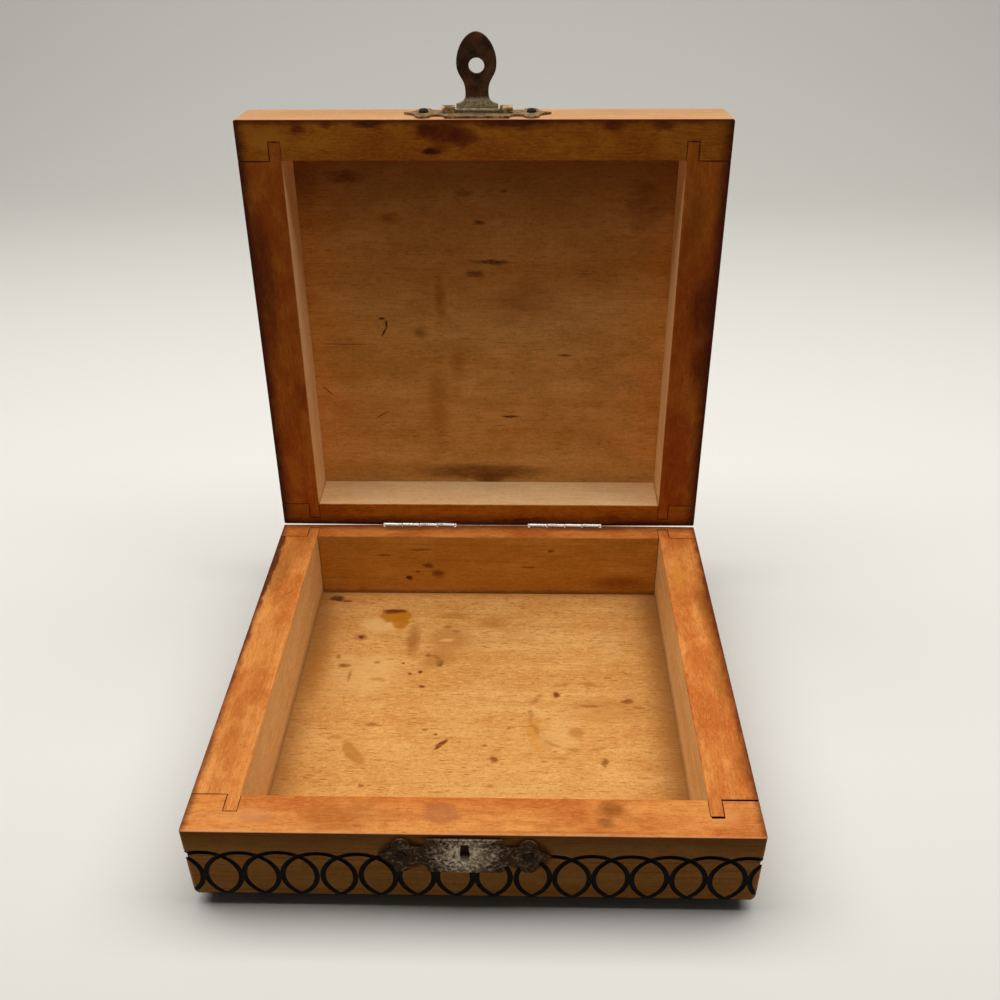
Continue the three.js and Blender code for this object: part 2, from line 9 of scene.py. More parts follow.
import bmesh
import bpy
from mathutils import Matrix, Vector


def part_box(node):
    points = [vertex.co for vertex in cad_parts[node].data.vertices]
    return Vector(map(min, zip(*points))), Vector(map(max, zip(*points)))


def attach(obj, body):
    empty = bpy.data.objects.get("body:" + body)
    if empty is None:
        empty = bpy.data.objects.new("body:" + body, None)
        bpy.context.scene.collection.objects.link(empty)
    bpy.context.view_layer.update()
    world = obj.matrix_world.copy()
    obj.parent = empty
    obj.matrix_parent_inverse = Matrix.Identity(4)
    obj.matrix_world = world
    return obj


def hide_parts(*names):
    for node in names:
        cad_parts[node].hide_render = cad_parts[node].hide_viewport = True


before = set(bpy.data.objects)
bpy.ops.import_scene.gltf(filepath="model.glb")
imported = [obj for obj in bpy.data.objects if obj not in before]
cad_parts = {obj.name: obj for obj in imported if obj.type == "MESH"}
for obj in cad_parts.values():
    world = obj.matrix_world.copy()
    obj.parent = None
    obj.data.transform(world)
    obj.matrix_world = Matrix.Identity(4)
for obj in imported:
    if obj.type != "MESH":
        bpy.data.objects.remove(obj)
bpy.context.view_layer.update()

MM = 0.001
WELD = 0.001
LEFT_RIGHT = ("left", "right")

# The lid stands just past upright, turned this far from closed
LID_ANGLE = math.radians(90.8)

# Carved ring chain round the base: one cutter goes round each ring, and the rings overlap
RINGS_PER_WALL = 15
RINGS_PAST_CORNER = 1
RING_SETS = 3
RING_RADIUS = 9.55
RING_FLATNESS = 0.9
RING_END_SETBACK = 4.02
RING_SHIFT = 0.5
RING_DROP = 16.2
RING_WOBBLE = 0.22
RING_LEAN = 0.03
GROOVE_RADIUS = 0.74
RING_SEGMENTS = 64
GROOVE_SEGMENTS = 10

# Corner joints: a tongue on each side piece goes into the front and the back piece, with a dark glue line
TONGUE_THICKNESS = 3.5
TONGUE_LENGTH = 5.8
JOINT_GAP = 0.1
GLUE_LINE = 0.45
SHOULDER_LINE = 0.5
SHOULDER_OVERRUN = 1.15
TONGUE_OVERRUN = 1.24

# The glue has let go in the right front corner, which leaves an open joint
OPEN_SHOULDER = 0.35
OPEN_TONGUE_END = 0.5
OPEN_TONGUE_FLOOR = 4.0
CUT_PAST = 1.0

# Finishes of a wooden piece, by what its faces look towards and how deep they lie
RIM, BARE, OUTER, GLUE_AND_UNDERSIDE_SHADE = 0, 1, 2, 3
RIM_TILT = 0.35
BASE_RIM_DEPTH = 1.0
LID_RIM_DEPTH = 3.0
BASE_INNER_REACH = 0.06
LID_INNER_REACH = 0.6
SKIN = 1.2
PANEL_FLAT = 0.7
PANEL_TOP_TILT = 0.3

# The long edges at the seam between lid and base are sharp and a little proud
SEAM_EASE = 0.3
SEAM_PROUD = 0.1

# Easing of the sheet metal, and the angle above which an edge stays crisp
SHEET_EASE = 0.12
LEAF_EASE = 0.08
CREASE = math.radians(38)

# Round nail heads: outline from the middle of the underside to the top, as shares of radius and height
HEAD_OUTLINE = (
    (0.0, -0.6), (0.93, -0.6), (1.0, 0.0), (0.99, 0.18), (0.9, 0.5), (0.68, 0.8), (0.38, 0.95), (0.0, 1.0),
)
HEAD_SIDES = 28
HEAD_WELD = 1e-4
PLATE_NAIL_HEAD = 1.0
HINGE_NAIL_HEAD = 0.5

# Camera fitted to the corners of both rims
CAMERA_PLACE = (12.54, -258.21, 244.66)
CAMERA_PITCH = math.radians(31.92)
CAMERA_YAW = math.radians(-1.42)
CAMERA_ROLL = math.radians(0.43)
CAMERA_FOCAL = 38.76
CAMERA_SENSOR = 36.0
CAMERA_NEAR = 10.0

# Stage and light; the paper and the room look pale and throw back little light
FLOOR_HALF_WIDTH = 1600
FLOOR_FRONT = -1500
SWEEP_START = 560
SWEEP_RADIUS = 320
SWEEP_STEPS = 16
BACKDROP_TOP = 1500
PAPER_LIFT = 260
PAPER_SHOWN = "e9e6de"
PAPER_FELT = "7d7a74"
PAPER_PAINTED_LIGHT = "fffdf6"
# Painted light: the paper turns to this colour as it rises behind the box
ROOM_SHOWN = "d5d4cf"
ROOM_FELT = "302f2c"
KEY_PLACE = (0, 110, 650)
KEY_WIDTH = 1500
KEY_DEPTH = 440
KEY_WATTS = 7.9

scene = bpy.context.scene
collection = scene.collection


def linear(colour):
    """A linear RGBA colour from an sRGB hex value such as "c9722f"."""
    parts = [int(colour[i:i + 2], 16) / 255 for i in (0, 2, 4)]
    return tuple(p / 12.92 if p <= 0.04045 else ((p + 0.055) / 1.055) ** 2.4 for p in parts) + (1.0,)


def fill(tree, node, inputs):
    """Sets each input of a node to a value, or links it from a socket or from a node's first output."""
    for key, value in inputs.items():
        if isinstance(value, bpy.types.Node):
            value = value.outputs[0]
        if isinstance(value, bpy.types.NodeSocket):
            tree.links.new(value, node.inputs[key])
        else:
            node.inputs[key].default_value = value


def add(tree, kind, inputs=None, **settings):
    """Adds a node with its settings and inputs.

    A colour Mix has its share on input 0, its colours on 6 and 7 and its result on output 2. Map Range has
    its value on input 0, the range that it reads on 1 and 2 and the range that it gives on 3 and 4.
    """
    node = tree.nodes.new(kind)
    for name, value in settings.items():
        setattr(node, name, value)
    fill(tree, node, inputs or {})
    return node


def new_material(name):
    """An empty material with its tree, its Principled shader and its place in millimetres."""
    material = bpy.data.materials.new(name)
    material.use_nodes = True
    tree = material.node_tree
    tree.nodes.clear()
    shader = add(tree, "ShaderNodeBsdfPrincipled")
    add(tree, "ShaderNodeOutputMaterial", {"Surface": shader})
    coordinates = add(tree, "ShaderNodeTexCoord").outputs["Object"]
    place = add(tree, "ShaderNodeVectorMath", {0: coordinates, "Scale": 1 / MM}, operation="SCALE")
    return material, tree, shader, place


# Wood

GRAIN_TURN = {"X": (0, 0, 0), "Y": (0, 0, -math.pi / 2), "Z": (0, math.pi / 2, 0)}
WOOD_IOR = 1.5
WOOD_SHEEN = 0.1

# Outlines of marks stray by so much, and more along the grain than across it
STRAY_LENGTH = 5.0
STRAY_WIDTH = 2.2
MARK_STRAY = 2.2
MARK_STRAY_MOST = 3.5
EDGE_STRAY = 3.0

# Within a mark the colour comes and goes in small patches, and never falls below a share
PATCH_LENGTH = 2.6
PATCH_WIDTH = 1.2
PATCH_LEAST = 0.74


class StainOrShade(NamedTuple):
    """A mark on the wood, of stain or of painted shade: its middle and half-sizes in millimetres, colour,
    strength, soft edge and turn.

    A crisp mark keeps its outline; any other is ragged and patchy, a small one less than a large one.
    """

    middle: tuple
    reach: tuple
    colour: str
    strength: float = 0.7
    soft: float = 0.5
    turn: tuple = (0, 0, 0)
    crisp: bool = False


class Edge(NamedTuple):
    """A band along an edge, of soaked-in stain or of painted light and shade: an axis, the edge's place on it
    and how far the band reaches.
    """

    axis: str
    place: float
    reach: float
    colour: str
    strength: float = 0.8


def grain_colour(tree, along, tones, layers):
    """The colour of unmarked wood from layers of stretched noise, and the noise of each layer."""
    colour = linear(tones["mid"])
    noises = {}
    for count, (layer, (length, width, low, high, tone, share)) in enumerate(layers.items()):
        stretch = (1 / length, 1 / width, 1 / width)
        offset = (7.3 * count, 3.1 * count, 5.7 * count)
        spot = add(tree, "ShaderNodeVectorMath", {0: along, 1: stretch, 2: offset}, operation="MULTIPLY_ADD")
        noises[layer] = add(tree, "ShaderNodeTexNoise", {
            "Vector": spot, "Scale": 1.0, "Detail": 4.0, "Roughness": 0.6})
        amount = add(tree, "ShaderNodeMapRange", {0: noises[layer], 1: low, 2: high, 4: share})
        colour = add(tree, "ShaderNodeMix", {0: amount, 6: colour, 7: linear(tones[tone])},
                     data_type="RGBA").outputs[2]
    return colour, noises


def marked_colour(tree, colour, along, place, stains_and_shade, edges):
    """The wood's colour with its marks of use and of painted shade, and the bands of stain and of painted
    light and shade along its edges.
    """
    stretch = (1 / STRAY_LENGTH, 1 / STRAY_WIDTH, 1 / STRAY_WIDTH)
    spot = add(tree, "ShaderNodeVectorMath", {0: along, 1: stretch}, operation="MULTIPLY")
    stray = add(tree, "ShaderNodeTexNoise", {
        "Vector": spot, "Scale": 1.0, "Detail": 4.0, "Roughness": 0.65}).outputs[1]
    stray = add(tree, "ShaderNodeVectorMath", {0: stray, 1: (0.5, 0.5, 0.5)}, operation="SUBTRACT")
    stretch = (1 / PATCH_LENGTH, 1 / PATCH_WIDTH, 1 / PATCH_WIDTH)
    spot = add(tree, "ShaderNodeVectorMath", {0: along, 1: stretch}, operation="MULTIPLY")
    patches = add(tree, "ShaderNodeTexNoise", {"Vector": spot, "Scale": 1.0, "Detail": 5.0, "Roughness": 0.7})
    patches = add(tree, "ShaderNodeMapRange", {0: patches, 1: 0.36, 2: 0.56, 3: PATCH_LEAST})
    for stain in stains_and_shade:
        loose = 0 if stain.crisp else min(MARK_STRAY_MOST, MARK_STRAY * min(stain.reach))
        ragged = add(tree, "ShaderNodeVectorMath", {0: stray, 1: (loose, loose, loose), 2: place},
                     operation="MULTIPLY_ADD")
        local = add(tree, "ShaderNodeMapping", {
            "Vector": ragged, "Location": stain.middle, "Rotation": stain.turn, "Scale": stain.reach,
        }, vector_type="TEXTURE")
        away = add(tree, "ShaderNodeVectorMath", {0: local}, operation="LENGTH").outputs["Value"]
        share = add(tree, "ShaderNodeMapRange", {0: away, 1: 1.0, 2: 1.0 - stain.soft, 4: stain.strength},
                    interpolation_type="SMOOTHSTEP")
        if not stain.crisp:
            share = add(tree, "ShaderNodeMath", {0: share, 1: patches}, operation="MULTIPLY")
        colour = add(tree, "ShaderNodeMix", {0: share, 6: colour, 7: linear(stain.colour)},
                     data_type="RGBA").outputs[2]

    ragged = add(tree, "ShaderNodeVectorMath", {0: stray, 1: (EDGE_STRAY, EDGE_STRAY, EDGE_STRAY), 2: place},
                 operation="MULTIPLY_ADD")
    split = add(tree, "ShaderNodeSeparateXYZ", {0: ragged}).outputs
    for edge in edges:
        away = add(tree, "ShaderNodeMath", {0: split["XYZ".index(edge.axis)], 1: edge.place},
                   operation="SUBTRACT")
        away = add(tree, "ShaderNodeMath", {0: away}, operation="ABSOLUTE")
        share = add(tree, "ShaderNodeMapRange", {0: away, 1: edge.reach, 2: 0.0, 4: edge.strength},
                    interpolation_type="SMOOTHSTEP")
        colour = add(tree, "ShaderNodeMix", {0: share, 6: colour, 7: linear(edge.colour)},
                     data_type="RGBA").outputs[2]
    return colour


def grained_wood(name, grain, tones, shift=0.0, fleck=0.5, speckle=0.3, cloud=0.5, line=0.0,
                 roughness=0.62, stains_and_shade=(), edges=()):
    """Fine-pored wood in four tones: growth bands, fibres, ray flecks, pores and blotches of old stain."""
    material, tree, shader, place = new_material(name)
    along = add(tree, "ShaderNodeMapping", {
        "Vector": place, "Rotation": GRAIN_TURN[grain], "Location": (shift, shift, shift)})

    # Each layer's length and width in millimetres, where its noise begins and is full, its tone and its share
    layers = {
        "growth bands": (150, 9.0, 0.36, 0.64, "pale", 1.0),
        "late wood": (60, 0.9, 0.55, 0.66, "dark", line),
        "fibres": (12, 0.6, 0.46, 0.74, "dark", 0.3),
        "blotches": (17, 9.0, 0.42, 0.60, "soaked", cloud),
        "mottling": (4.5, 2.2, 0.46, 0.66, "soaked", 0.6 * cloud),
        "pale flecks": (2.0, 0.5, 0.50, 0.68, "pale", 1.1 * fleck),
        "dark flecks": (3.2, 0.45, 0.57, 0.67, "dark", fleck),
        "pores": (0.8, 0.65, 0.50, 0.70, "dark", speckle),
    }
    colour, noises = grain_colour(tree, along, tones, layers)

    # Dry satin, duller along the fibres, with open pores
    dull = add(tree, "ShaderNodeMapRange", {
        0: noises["fibres"], 1: 0.3, 2: 0.7, 3: roughness - 0.08, 4: roughness + 0.12})
    pitted = add(tree, "ShaderNodeMath", {0: noises["dark flecks"], 1: noises["pores"]}, operation="ADD")
    bump = add(tree, "ShaderNodeBump", {"Strength": 0.35, "Distance": 0.06 * MM, "Height": pitted},
               invert=True)
    fill(tree, shader, {"Base Color": marked_colour(tree, colour, along, place, stains_and_shade, edges),
                        "Roughness": dull, "Normal": bump, "IOR": WOOD_IOR, "Specular IOR Level": WOOD_SHEEN})
    return material


def dark_line(name, dark, worn_through):
    """What fills a carved line or a joint, and the painted shade under the base: matt and dark, with a little
    more colour where it is worn.
    """
    material, tree, shader, place = new_material(name)
    worn = add(tree, "ShaderNodeTexNoise", {
        "Vector": place, "Scale": 1 / 1.5, "Detail": 5.0, "Roughness": 0.7})
    share = add(tree, "ShaderNodeMapRange", {0: worn, 1: 0.5, 2: 0.75})
    colour = add(tree, "ShaderNodeMix", {0: share, 6: linear(dark), 7: linear(worn_through)},
                 data_type="RGBA").outputs[2]
    bump = add(tree, "ShaderNodeBump", {"Strength": 0.5, "Distance": 0.08 * MM, "Height": worn})
    fill(tree, shader, {"Base Color": colour, "Normal": bump, "Roughness": 0.75, "IOR": WOOD_IOR,
                        "Specular IOR Level": WOOD_SHEEN})
    return material


def plywood_edge(name, axis, thickness, pale, dark, grime):
    """Sawn edge of plywood: pale and dark plies in turn, rough from the saw, with grime."""
    material, tree, shader, place = new_material(name)
    across = add(tree, "ShaderNodeSeparateXYZ", {0: place}).outputs["XYZ".index(axis)]
    grit = add(tree, "ShaderNodeTexNoise", {
        "Vector": place, "Scale": 1 / 1.2, "Detail": 5.0, "Roughness": 0.7})
    ply = add(tree, "ShaderNodeMath", {0: across, 1: thickness / 3}, operation="PINGPONG")
    ply = add(tree, "ShaderNodeMapRange", {0: ply, 1: thickness / 7, 2: thickness / 5})
    colour = add(tree, "ShaderNodeMix", {0: ply, 6: linear(pale), 7: linear(dark)},
                 data_type="RGBA").outputs[2]
    share = add(tree, "ShaderNodeMapRange", {0: grit, 1: 0.45, 2: 0.7, 4: 0.5})
    colour = add(tree, "ShaderNodeMix", {0: share, 6: colour, 7: linear(grime)}, data_type="RGBA").outputs[2]
    bump = add(tree, "ShaderNodeBump", {"Strength": 0.5, "Distance": 0.08 * MM, "Height": grit})
    fill(tree, shader, {"Base Color": colour, "Normal": bump, "Roughness": 0.78, "IOR": WOOD_IOR,
                        "Specular IOR Level": WOOD_SHEEN})
    return material


# Metal

def worn_plating(name, bright, tarnish, pit, middle=None, bright_reach=1.0, tarnish_share=0.5, patch=1.6,
                 roughness=0.38, metallic=1.0, tarnish_metal=0.3):
    """Plated sheet steel: bright where it is rubbed, brown tarnish that grows in patches, and dark pits."""
    material, tree, shader, place = new_material(name)
    patches = add(tree, "ShaderNodeTexNoise", {
        "Vector": place, "Scale": 1 / patch, "Detail": 6.0, "Roughness": 0.68, "Distortion": 0.4})
    share = add(tree, "ShaderNodeMath", {0: patches, 1: tarnish_share - 0.5}, operation="ADD")
    if middle:
        local = add(tree, "ShaderNodeVectorMath", {0: place, 1: middle}, operation="SUBTRACT")
        away = add(tree, "ShaderNodeVectorMath", {0: local}, operation="LENGTH").outputs["Value"]
        away = add(tree, "ShaderNodeMapRange", {
            0: away, 1: 0.5 * bright_reach, 2: 1.6 * bright_reach, 3: -0.17, 4: 0.07})
        share = add(tree, "ShaderNodeMath", {0: share, 1: away}, operation="ADD")
    share = add(tree, "ShaderNodeMapRange", {0: share, 1: 0.36, 2: 0.64})
    colour = add(tree, "ShaderNodeMix", {0: share, 6: linear(bright), 7: linear(tarnish)},
                 data_type="RGBA").outputs[2]
    pits = add(tree, "ShaderNodeTexNoise", {
        "Vector": place, "Scale": 1 / 0.55, "Detail": 3.0, "Roughness": 0.6})
    pit_share = add(tree, "ShaderNodeMapRange", {0: pits, 1: 0.58, 2: 0.7, 4: 0.85})
    colour = add(tree, "ShaderNodeMix", {0: pit_share, 6: colour, 7: linear(pit)},
                 data_type="RGBA").outputs[2]
    dull = add(tree, "ShaderNodeMapRange", {0: share, 3: roughness, 4: roughness + 0.24})
    bare = add(tree, "ShaderNodeMapRange", {0: share, 3: metallic, 4: tarnish_metal * metallic})
    bump = add(tree, "ShaderNodeBump", {"Strength": 0.5, "Distance": 0.06 * MM, "Height": pits}, invert=True)
    fill(tree, shader, {"Base Color": colour, "Roughness": dull, "Metallic": bare, "Normal": bump,
                        "Specular IOR Level": 0.06})
    return material


def oxidised_tongue(name, foot_top):
    """Blackened steel with a brown bloom; the foot is rubbed back to speckled grey metal by the ears."""
    material, tree, shader, place = new_material(name)
    bloom = add(tree, "ShaderNodeTexNoise", {
        "Vector": place, "Scale": 1 / 4.5, "Detail": 6.0, "Roughness": 0.65})
    share = add(tree, "ShaderNodeMapRange", {0: bloom, 1: 0.4, 2: 0.68})
    colour = add(tree, "ShaderNodeMix", {0: share, 6: linear("2a180d"), 7: linear("58381f")},
                 data_type="RGBA").outputs[2]
    scuff = add(tree, "ShaderNodeTexNoise", {
        "Vector": place, "Scale": 1 / 0.7, "Detail": 5.0, "Roughness": 0.7})
    scuff_share = add(tree, "ShaderNodeMapRange", {0: scuff, 1: 0.6, 2: 0.78, 4: 0.45})
    colour = add(tree, "ShaderNodeMix", {0: scuff_share, 6: colour, 7: linear("7b6a57")},
                 data_type="RGBA").outputs[2]
    height = add(tree, "ShaderNodeSeparateXYZ", {0: place}).outputs[2]
    ragged = add(tree, "ShaderNodeMath", {0: scuff, 1: 3.0, 2: height}, operation="MULTIPLY_ADD")
    rubbed = add(tree, "ShaderNodeMapRange", {0: ragged, 1: foot_top + 2.0, 2: foot_top + 1.0, 4: 0.95})
    grain = add(tree, "ShaderNodeMapRange", {0: scuff, 1: 0.36, 2: 0.62})
    metal = add(tree, "ShaderNodeMix", {0: grain, 6: linear("74664e"), 7: linear("bcb092")},
                data_type="RGBA").outputs[2]
    colour = add(tree, "ShaderNodeMix", {0: rubbed, 6: colour, 7: metal}, data_type="RGBA").outputs[2]
    dull = add(tree, "ShaderNodeMapRange", {0: bloom, 1: 0.3, 2: 0.7, 3: 0.36, 4: 0.55})
    bump = add(tree, "ShaderNodeBump", {"Strength": 0.4, "Distance": 0.06 * MM, "Height": scuff})
    fill(tree, shader, {"Base Color": colour, "Roughness": dull, "Normal": bump, "Metallic": 0.85})
    return material


# Meshes

def new_object(name, mesh):
    """Links a mesh to the scene as an object at the origin."""
    piece = bpy.data.objects.new(name, mesh)
    collection.objects.link(piece)
    return piece


def bake_modifiers(piece):
    """Applies an object's modifiers and takes them off."""
    graph = bpy.context.evaluated_depsgraph_get()
    mesh = bpy.data.meshes.new_from_object(piece.evaluated_get(graph), preserve_all_data_layers=True,
                                           depsgraph=graph)
    piece.modifiers.clear()
    piece.data = mesh


def shade(piece):
    """Smooth shading with crisp edges; large faces keep their own direction, so that flat wood stays flat."""
    piece.data.shade_smooth()
    piece.data.set_sharp_from_angle(angle=CREASE)
    weighted = piece.modifiers.new("weighted", "WEIGHTED_NORMAL")
    weighted.keep_sharp = True
    weighted.weight = 100
    bake_modifiers(piece)


def copy_of(node):
    """A merged copy of a CAD node's mesh, named for its finished piece."""
    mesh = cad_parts[node].data.copy()
    mesh.materials.clear()
    work = bmesh.new()
    work.from_mesh(mesh)
    bmesh.ops.remove_doubles(work, verts=work.verts, dist=WELD * MM)
    work.to_mesh(mesh)
    work.free()
    for layer in list(mesh.uv_layers):
        mesh.uv_layers.remove(layer)
    if "custom_normal" in mesh.attributes:
        mesh.attributes.remove(mesh.attributes["custom_normal"])
    return new_object(node + "_finished", mesh)


def settle(piece, nodes, body):
    """The finished piece is shaded, stands for its nodes and moves with its body."""
    shade(piece)
    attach(piece, body)
    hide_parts(*nodes)


def grown(name, tree, values, seeds=None):
    """What a Geometry Nodes tree makes from its named inputs, as a plain object."""
    host = new_object(name, seeds or bpy.data.meshes.new(name))
    modifier = host.modifiers.new("tree", "NODES")
    modifier.node_group = tree
    identifiers = {item.name: item.identifier for item in tree.interface.items_tree if item.in_out == "INPUT"}
    for label, value in values.items():
        modifier[identifiers[label]] = value
    bake_modifiers(host)
    return host


def box_cutter(name, low, high):
    """A block between two corners, in millimetres."""
    mesh = bpy.data.meshes.new(name)
    work = bmesh.new()
    bmesh.ops.create_cube(work, size=1.0)
    middle = [(a + b) / 2 * MM for a, b in zip(low, high)]
    for vertex in work.verts:
        vertex.co = Vector(m + c * (b - a) * MM for m, c, a, b in zip(middle, vertex.co, low, high))
    work.to_mesh(mesh)
    work.free()
    return new_object(name, mesh)


def new_tree(name, sockets):
    """A Geometry Nodes tree with named inputs and one geometry output."""
    tree = bpy.data.node_groups.new(name, "GeometryNodeTree")
    tree.is_modifier = True
    for label, kind in sockets:
        tree.interface.new_socket(label, in_out="INPUT", socket_type=kind)
    tree.interface.new_socket("Geometry", in_out="OUTPUT", socket_type="NodeSocketGeometry")
    return tree, add(tree, "NodeGroupInput").outputs


def ring_chain_tree():
    """A row of round-section rings, the shape that a ring cutter leaves in a wall."""
    tree, given = new_tree("ring_chain", (
        ("Rings", "NodeSocketInt"), ("First ring", "NodeSocketVector"), ("Step", "NodeSocketVector"),
        ("Turn", "NodeSocketVector"), ("Ring radius", "NodeSocketFloat"),
        ("Groove radius", "NodeSocketFloat"), ("Least wobble", "NodeSocketVector"),
        ("Most wobble", "NodeSocketVector"), ("Seed", "NodeSocketInt"),
        ("Groove finish", "NodeSocketMaterial")))
    line = add(tree, "GeometryNodeMeshLine", {
        "Count": given["Rings"], "Start Location": given["First ring"], "Offset": given["Step"]})
    wobble = add(tree, "FunctionNodeRandomValue",
                 {0: given["Least wobble"], 1: given["Most wobble"], "Seed": given["Seed"]},
                 data_type="FLOAT_VECTOR")
    row = add(tree, "GeometryNodeSetPosition", {0: line, "Offset": wobble})
    path = add(tree, "GeometryNodeCurvePrimitiveCircle",
               {"Resolution": RING_SEGMENTS, "Radius": given["Ring radius"]})
    section = add(tree, "GeometryNodeCurvePrimitiveCircle",
                  {"Resolution": GROOVE_SEGMENTS, "Radius": given["Groove radius"]})
    flat = add(tree, "GeometryNodeTransform", {0: path, "Scale": (1, RING_FLATNESS, 1)})
    ring = add(tree, "GeometryNodeCurveToMesh", {0: flat, "Profile Curve": section})
    turned = add(tree, "FunctionNodeEulerToRotation", {"Euler": given["Turn"]})
    rings = add(tree, "GeometryNodeInstanceOnPoints", {"Points": row, "Instance": ring, "Rotation": turned})
    real = add(tree, "GeometryNodeRealizeInstances", {0: rings})
    finished = add(tree, "GeometryNodeSetMaterial", {0: real, "Material": given["Groove finish"]})
    add(tree, "NodeGroupOutput", {0: finished})
    return tree


def nail_tree():
    """Nail heads on points that carry the way they face and their size."""
    tree, given = new_tree("nail_heads", (
        ("Places", "NodeSocketGeometry"), ("Head", "NodeSocketObject"), ("Finish", "NodeSocketMaterial")))
    head = add(tree, "GeometryNodeObjectInfo", {"Object": given["Head"]})
    facing = add(tree, "GeometryNodeInputNamedAttribute", {"Name": "facing"}, data_type="FLOAT_VECTOR")
    size = add(tree, "GeometryNodeInputNamedAttribute", {"Name": "size"}, data_type="FLOAT_VECTOR")
    turned = add(tree, "FunctionNodeAlignRotationToVector", {"Vector": facing}, axis="Z")
    heads = add(tree, "GeometryNodeInstanceOnPoints", {
        "Points": given["Places"], "Instance": head.outputs["Geometry"], "Rotation": turned, "Scale": size})
    real = add(tree, "GeometryNodeRealizeInstances", {0: heads})
    finished = add(tree, "GeometryNodeSetMaterial", {0: real, "Material": given["Finish"]})
    add(tree, "NodeGroupOutput", {0: finished})
    return tree


# Places that the frame gives, in millimetres

def corners(node):
    """The low and the high corner of a node's box, in millimetres."""
    low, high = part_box(node)
    return low / MM, high / MM


front_low, front_high = corners("base_front_wall")
back_low, back_high = corners("base_back_wall")
left_low = corners("base_left_wall")[0]
right_low, right_high = corners("base_right_wall")
lid_front_low, lid_front_high = corners("lid_front_rail")
lid_back_low, lid_back_high = corners("lid_back_rail")
panel_low, panel_high = corners("lid_top_panel")
catch_low, catch_high = corners("catch_plate")
tongue_low = corners("hasp_tongue")[0]

rim_z = front_high.z
floor_z = left_low.z
inner_x = right_low.x
inner_front_y = front_high.y
inner_back_y = back_low.y
lid_rim_y = lid_front_low.y
panel_y = panel_low.y
lid_normal = Vector((0, -math.sin(LID_ANGLE), -math.cos(LID_ANGLE)))
lid_back = Vector((0, -lid_normal.z, lid_normal.y))

ring_z = rim_z - RING_DROP
half_chain = (RINGS_PER_WALL - 1) // 2
half_row = half_chain + RINGS_PAST_CORNER
front_pitch = (front_high.x - RING_END_SETBACK) / half_chain
side_pitch = (back_high.y - RING_END_SETBACK) / half_chain

# Tones of each wood, and colours of the marks that use has left on it

RIM_TONES = dict(pale="e9994c", mid="d67a32", dark="8c3a06", soaked="b85a1c")
INNER_TONES = dict(pale="e6ae56", mid="d79a44", dark="925e1a", soaked="c2842c")
# The side walls' bare beech is paler than the front and back walls': a lit copy, painted light
INNER_SIDE_LIT_TONES = dict(pale="f8cf92", mid="eebe7a", dark="b58442", soaked="e2ac62")
OUTER_TONES = dict(pale="db974b", mid="ca8337", dark="864e1d", soaked="b6722d")
FLOOR_TONES = dict(pale="e9b268", mid="da9c52", dark="92500f", soaked="c9853a")
LID_RIM_TONES = dict(pale="d08625", mid="c0711d", dark="743108", soaked="a35011")
LID_SIDE_TONES = dict(pale="d27e2a", mid="c36b1f", dark="7a320a", soaked="a04412")
# The lid's bare beech is paler still: painted light, so that the ledge inside the lid shows bright
LID_INNER_LIT_TONES = dict(pale="ffdca4", mid="fbd096", dark="d29c5c", soaked="f0bc80")
LID_OUTER_TONES = dict(pale="c39468", mid="b5865b", dark="8a5c34", soaked="a97848")
LID_PANEL_TONES = dict(pale="fcc678", mid="edb05b", dark="925915", soaked="ca8c38")

SOOT = "3a170b"
MAHOGANY = "451710"
OXBLOOD = "521c0c"
BURNT = "66260a"
UMBER = "64340f"
CHESTNUT = "7c360a"
COFFEE = "7c4410"
WALNUT = "8c4a10"
TEA = "a06020"
TAN = "b67630"
ROSE = "b06438"
AMBER = "b8700c"
OCHRE = "d28a30"
RUBBED = "e6b46e"
PALE_STAIN = "e29a58"


def on_base_rim(x, y, wide, deep):
    """Middle and reach of a mark on the base's rim."""
    return (x, y, rim_z), (wide, deep, 2)


def on_lid_rim(x, z, wide, tall):
    """Middle and reach of a mark on the open lid's rim."""
    return (x, lid_rim_y, z), (wide, 4, tall)


def joint_lines(near_face, far_face, on_rim, colour, strength):
    """Dark glue lines round the four tongues on a rim, between the frame's two inner faces."""
    lines = []
    outer_side = inner_x + TONGUE_THICKNESS + JOINT_GAP
    wide = (front_high.x - outer_side) / 2
    for face, inward in ((near_face, 1), (far_face, -1)):
        shoulder = face + inward * JOINT_GAP
        tongue_end = face - inward * (TONGUE_LENGTH - JOINT_GAP)
        long = TONGUE_LENGTH / 2 * TONGUE_OVERRUN
        thick = TONGUE_THICKNESS / 2 * TONGUE_OVERRUN
        for side in (-1, 1):
            lines.append((side * (outer_side + wide), shoulder, wide * SHOULDER_OVERRUN, SHOULDER_LINE))
            lines.append((side * outer_side, (shoulder + tongue_end) / 2, GLUE_LINE, long))
            lines.append((side * (inner_x + TONGUE_THICKNESS / 2), tongue_end, thick, GLUE_LINE))
    return tuple(StainOrShade(*on_rim(*line), colour, strength, 0.9, crisp=True) for line in lines)


# Finishes of the base

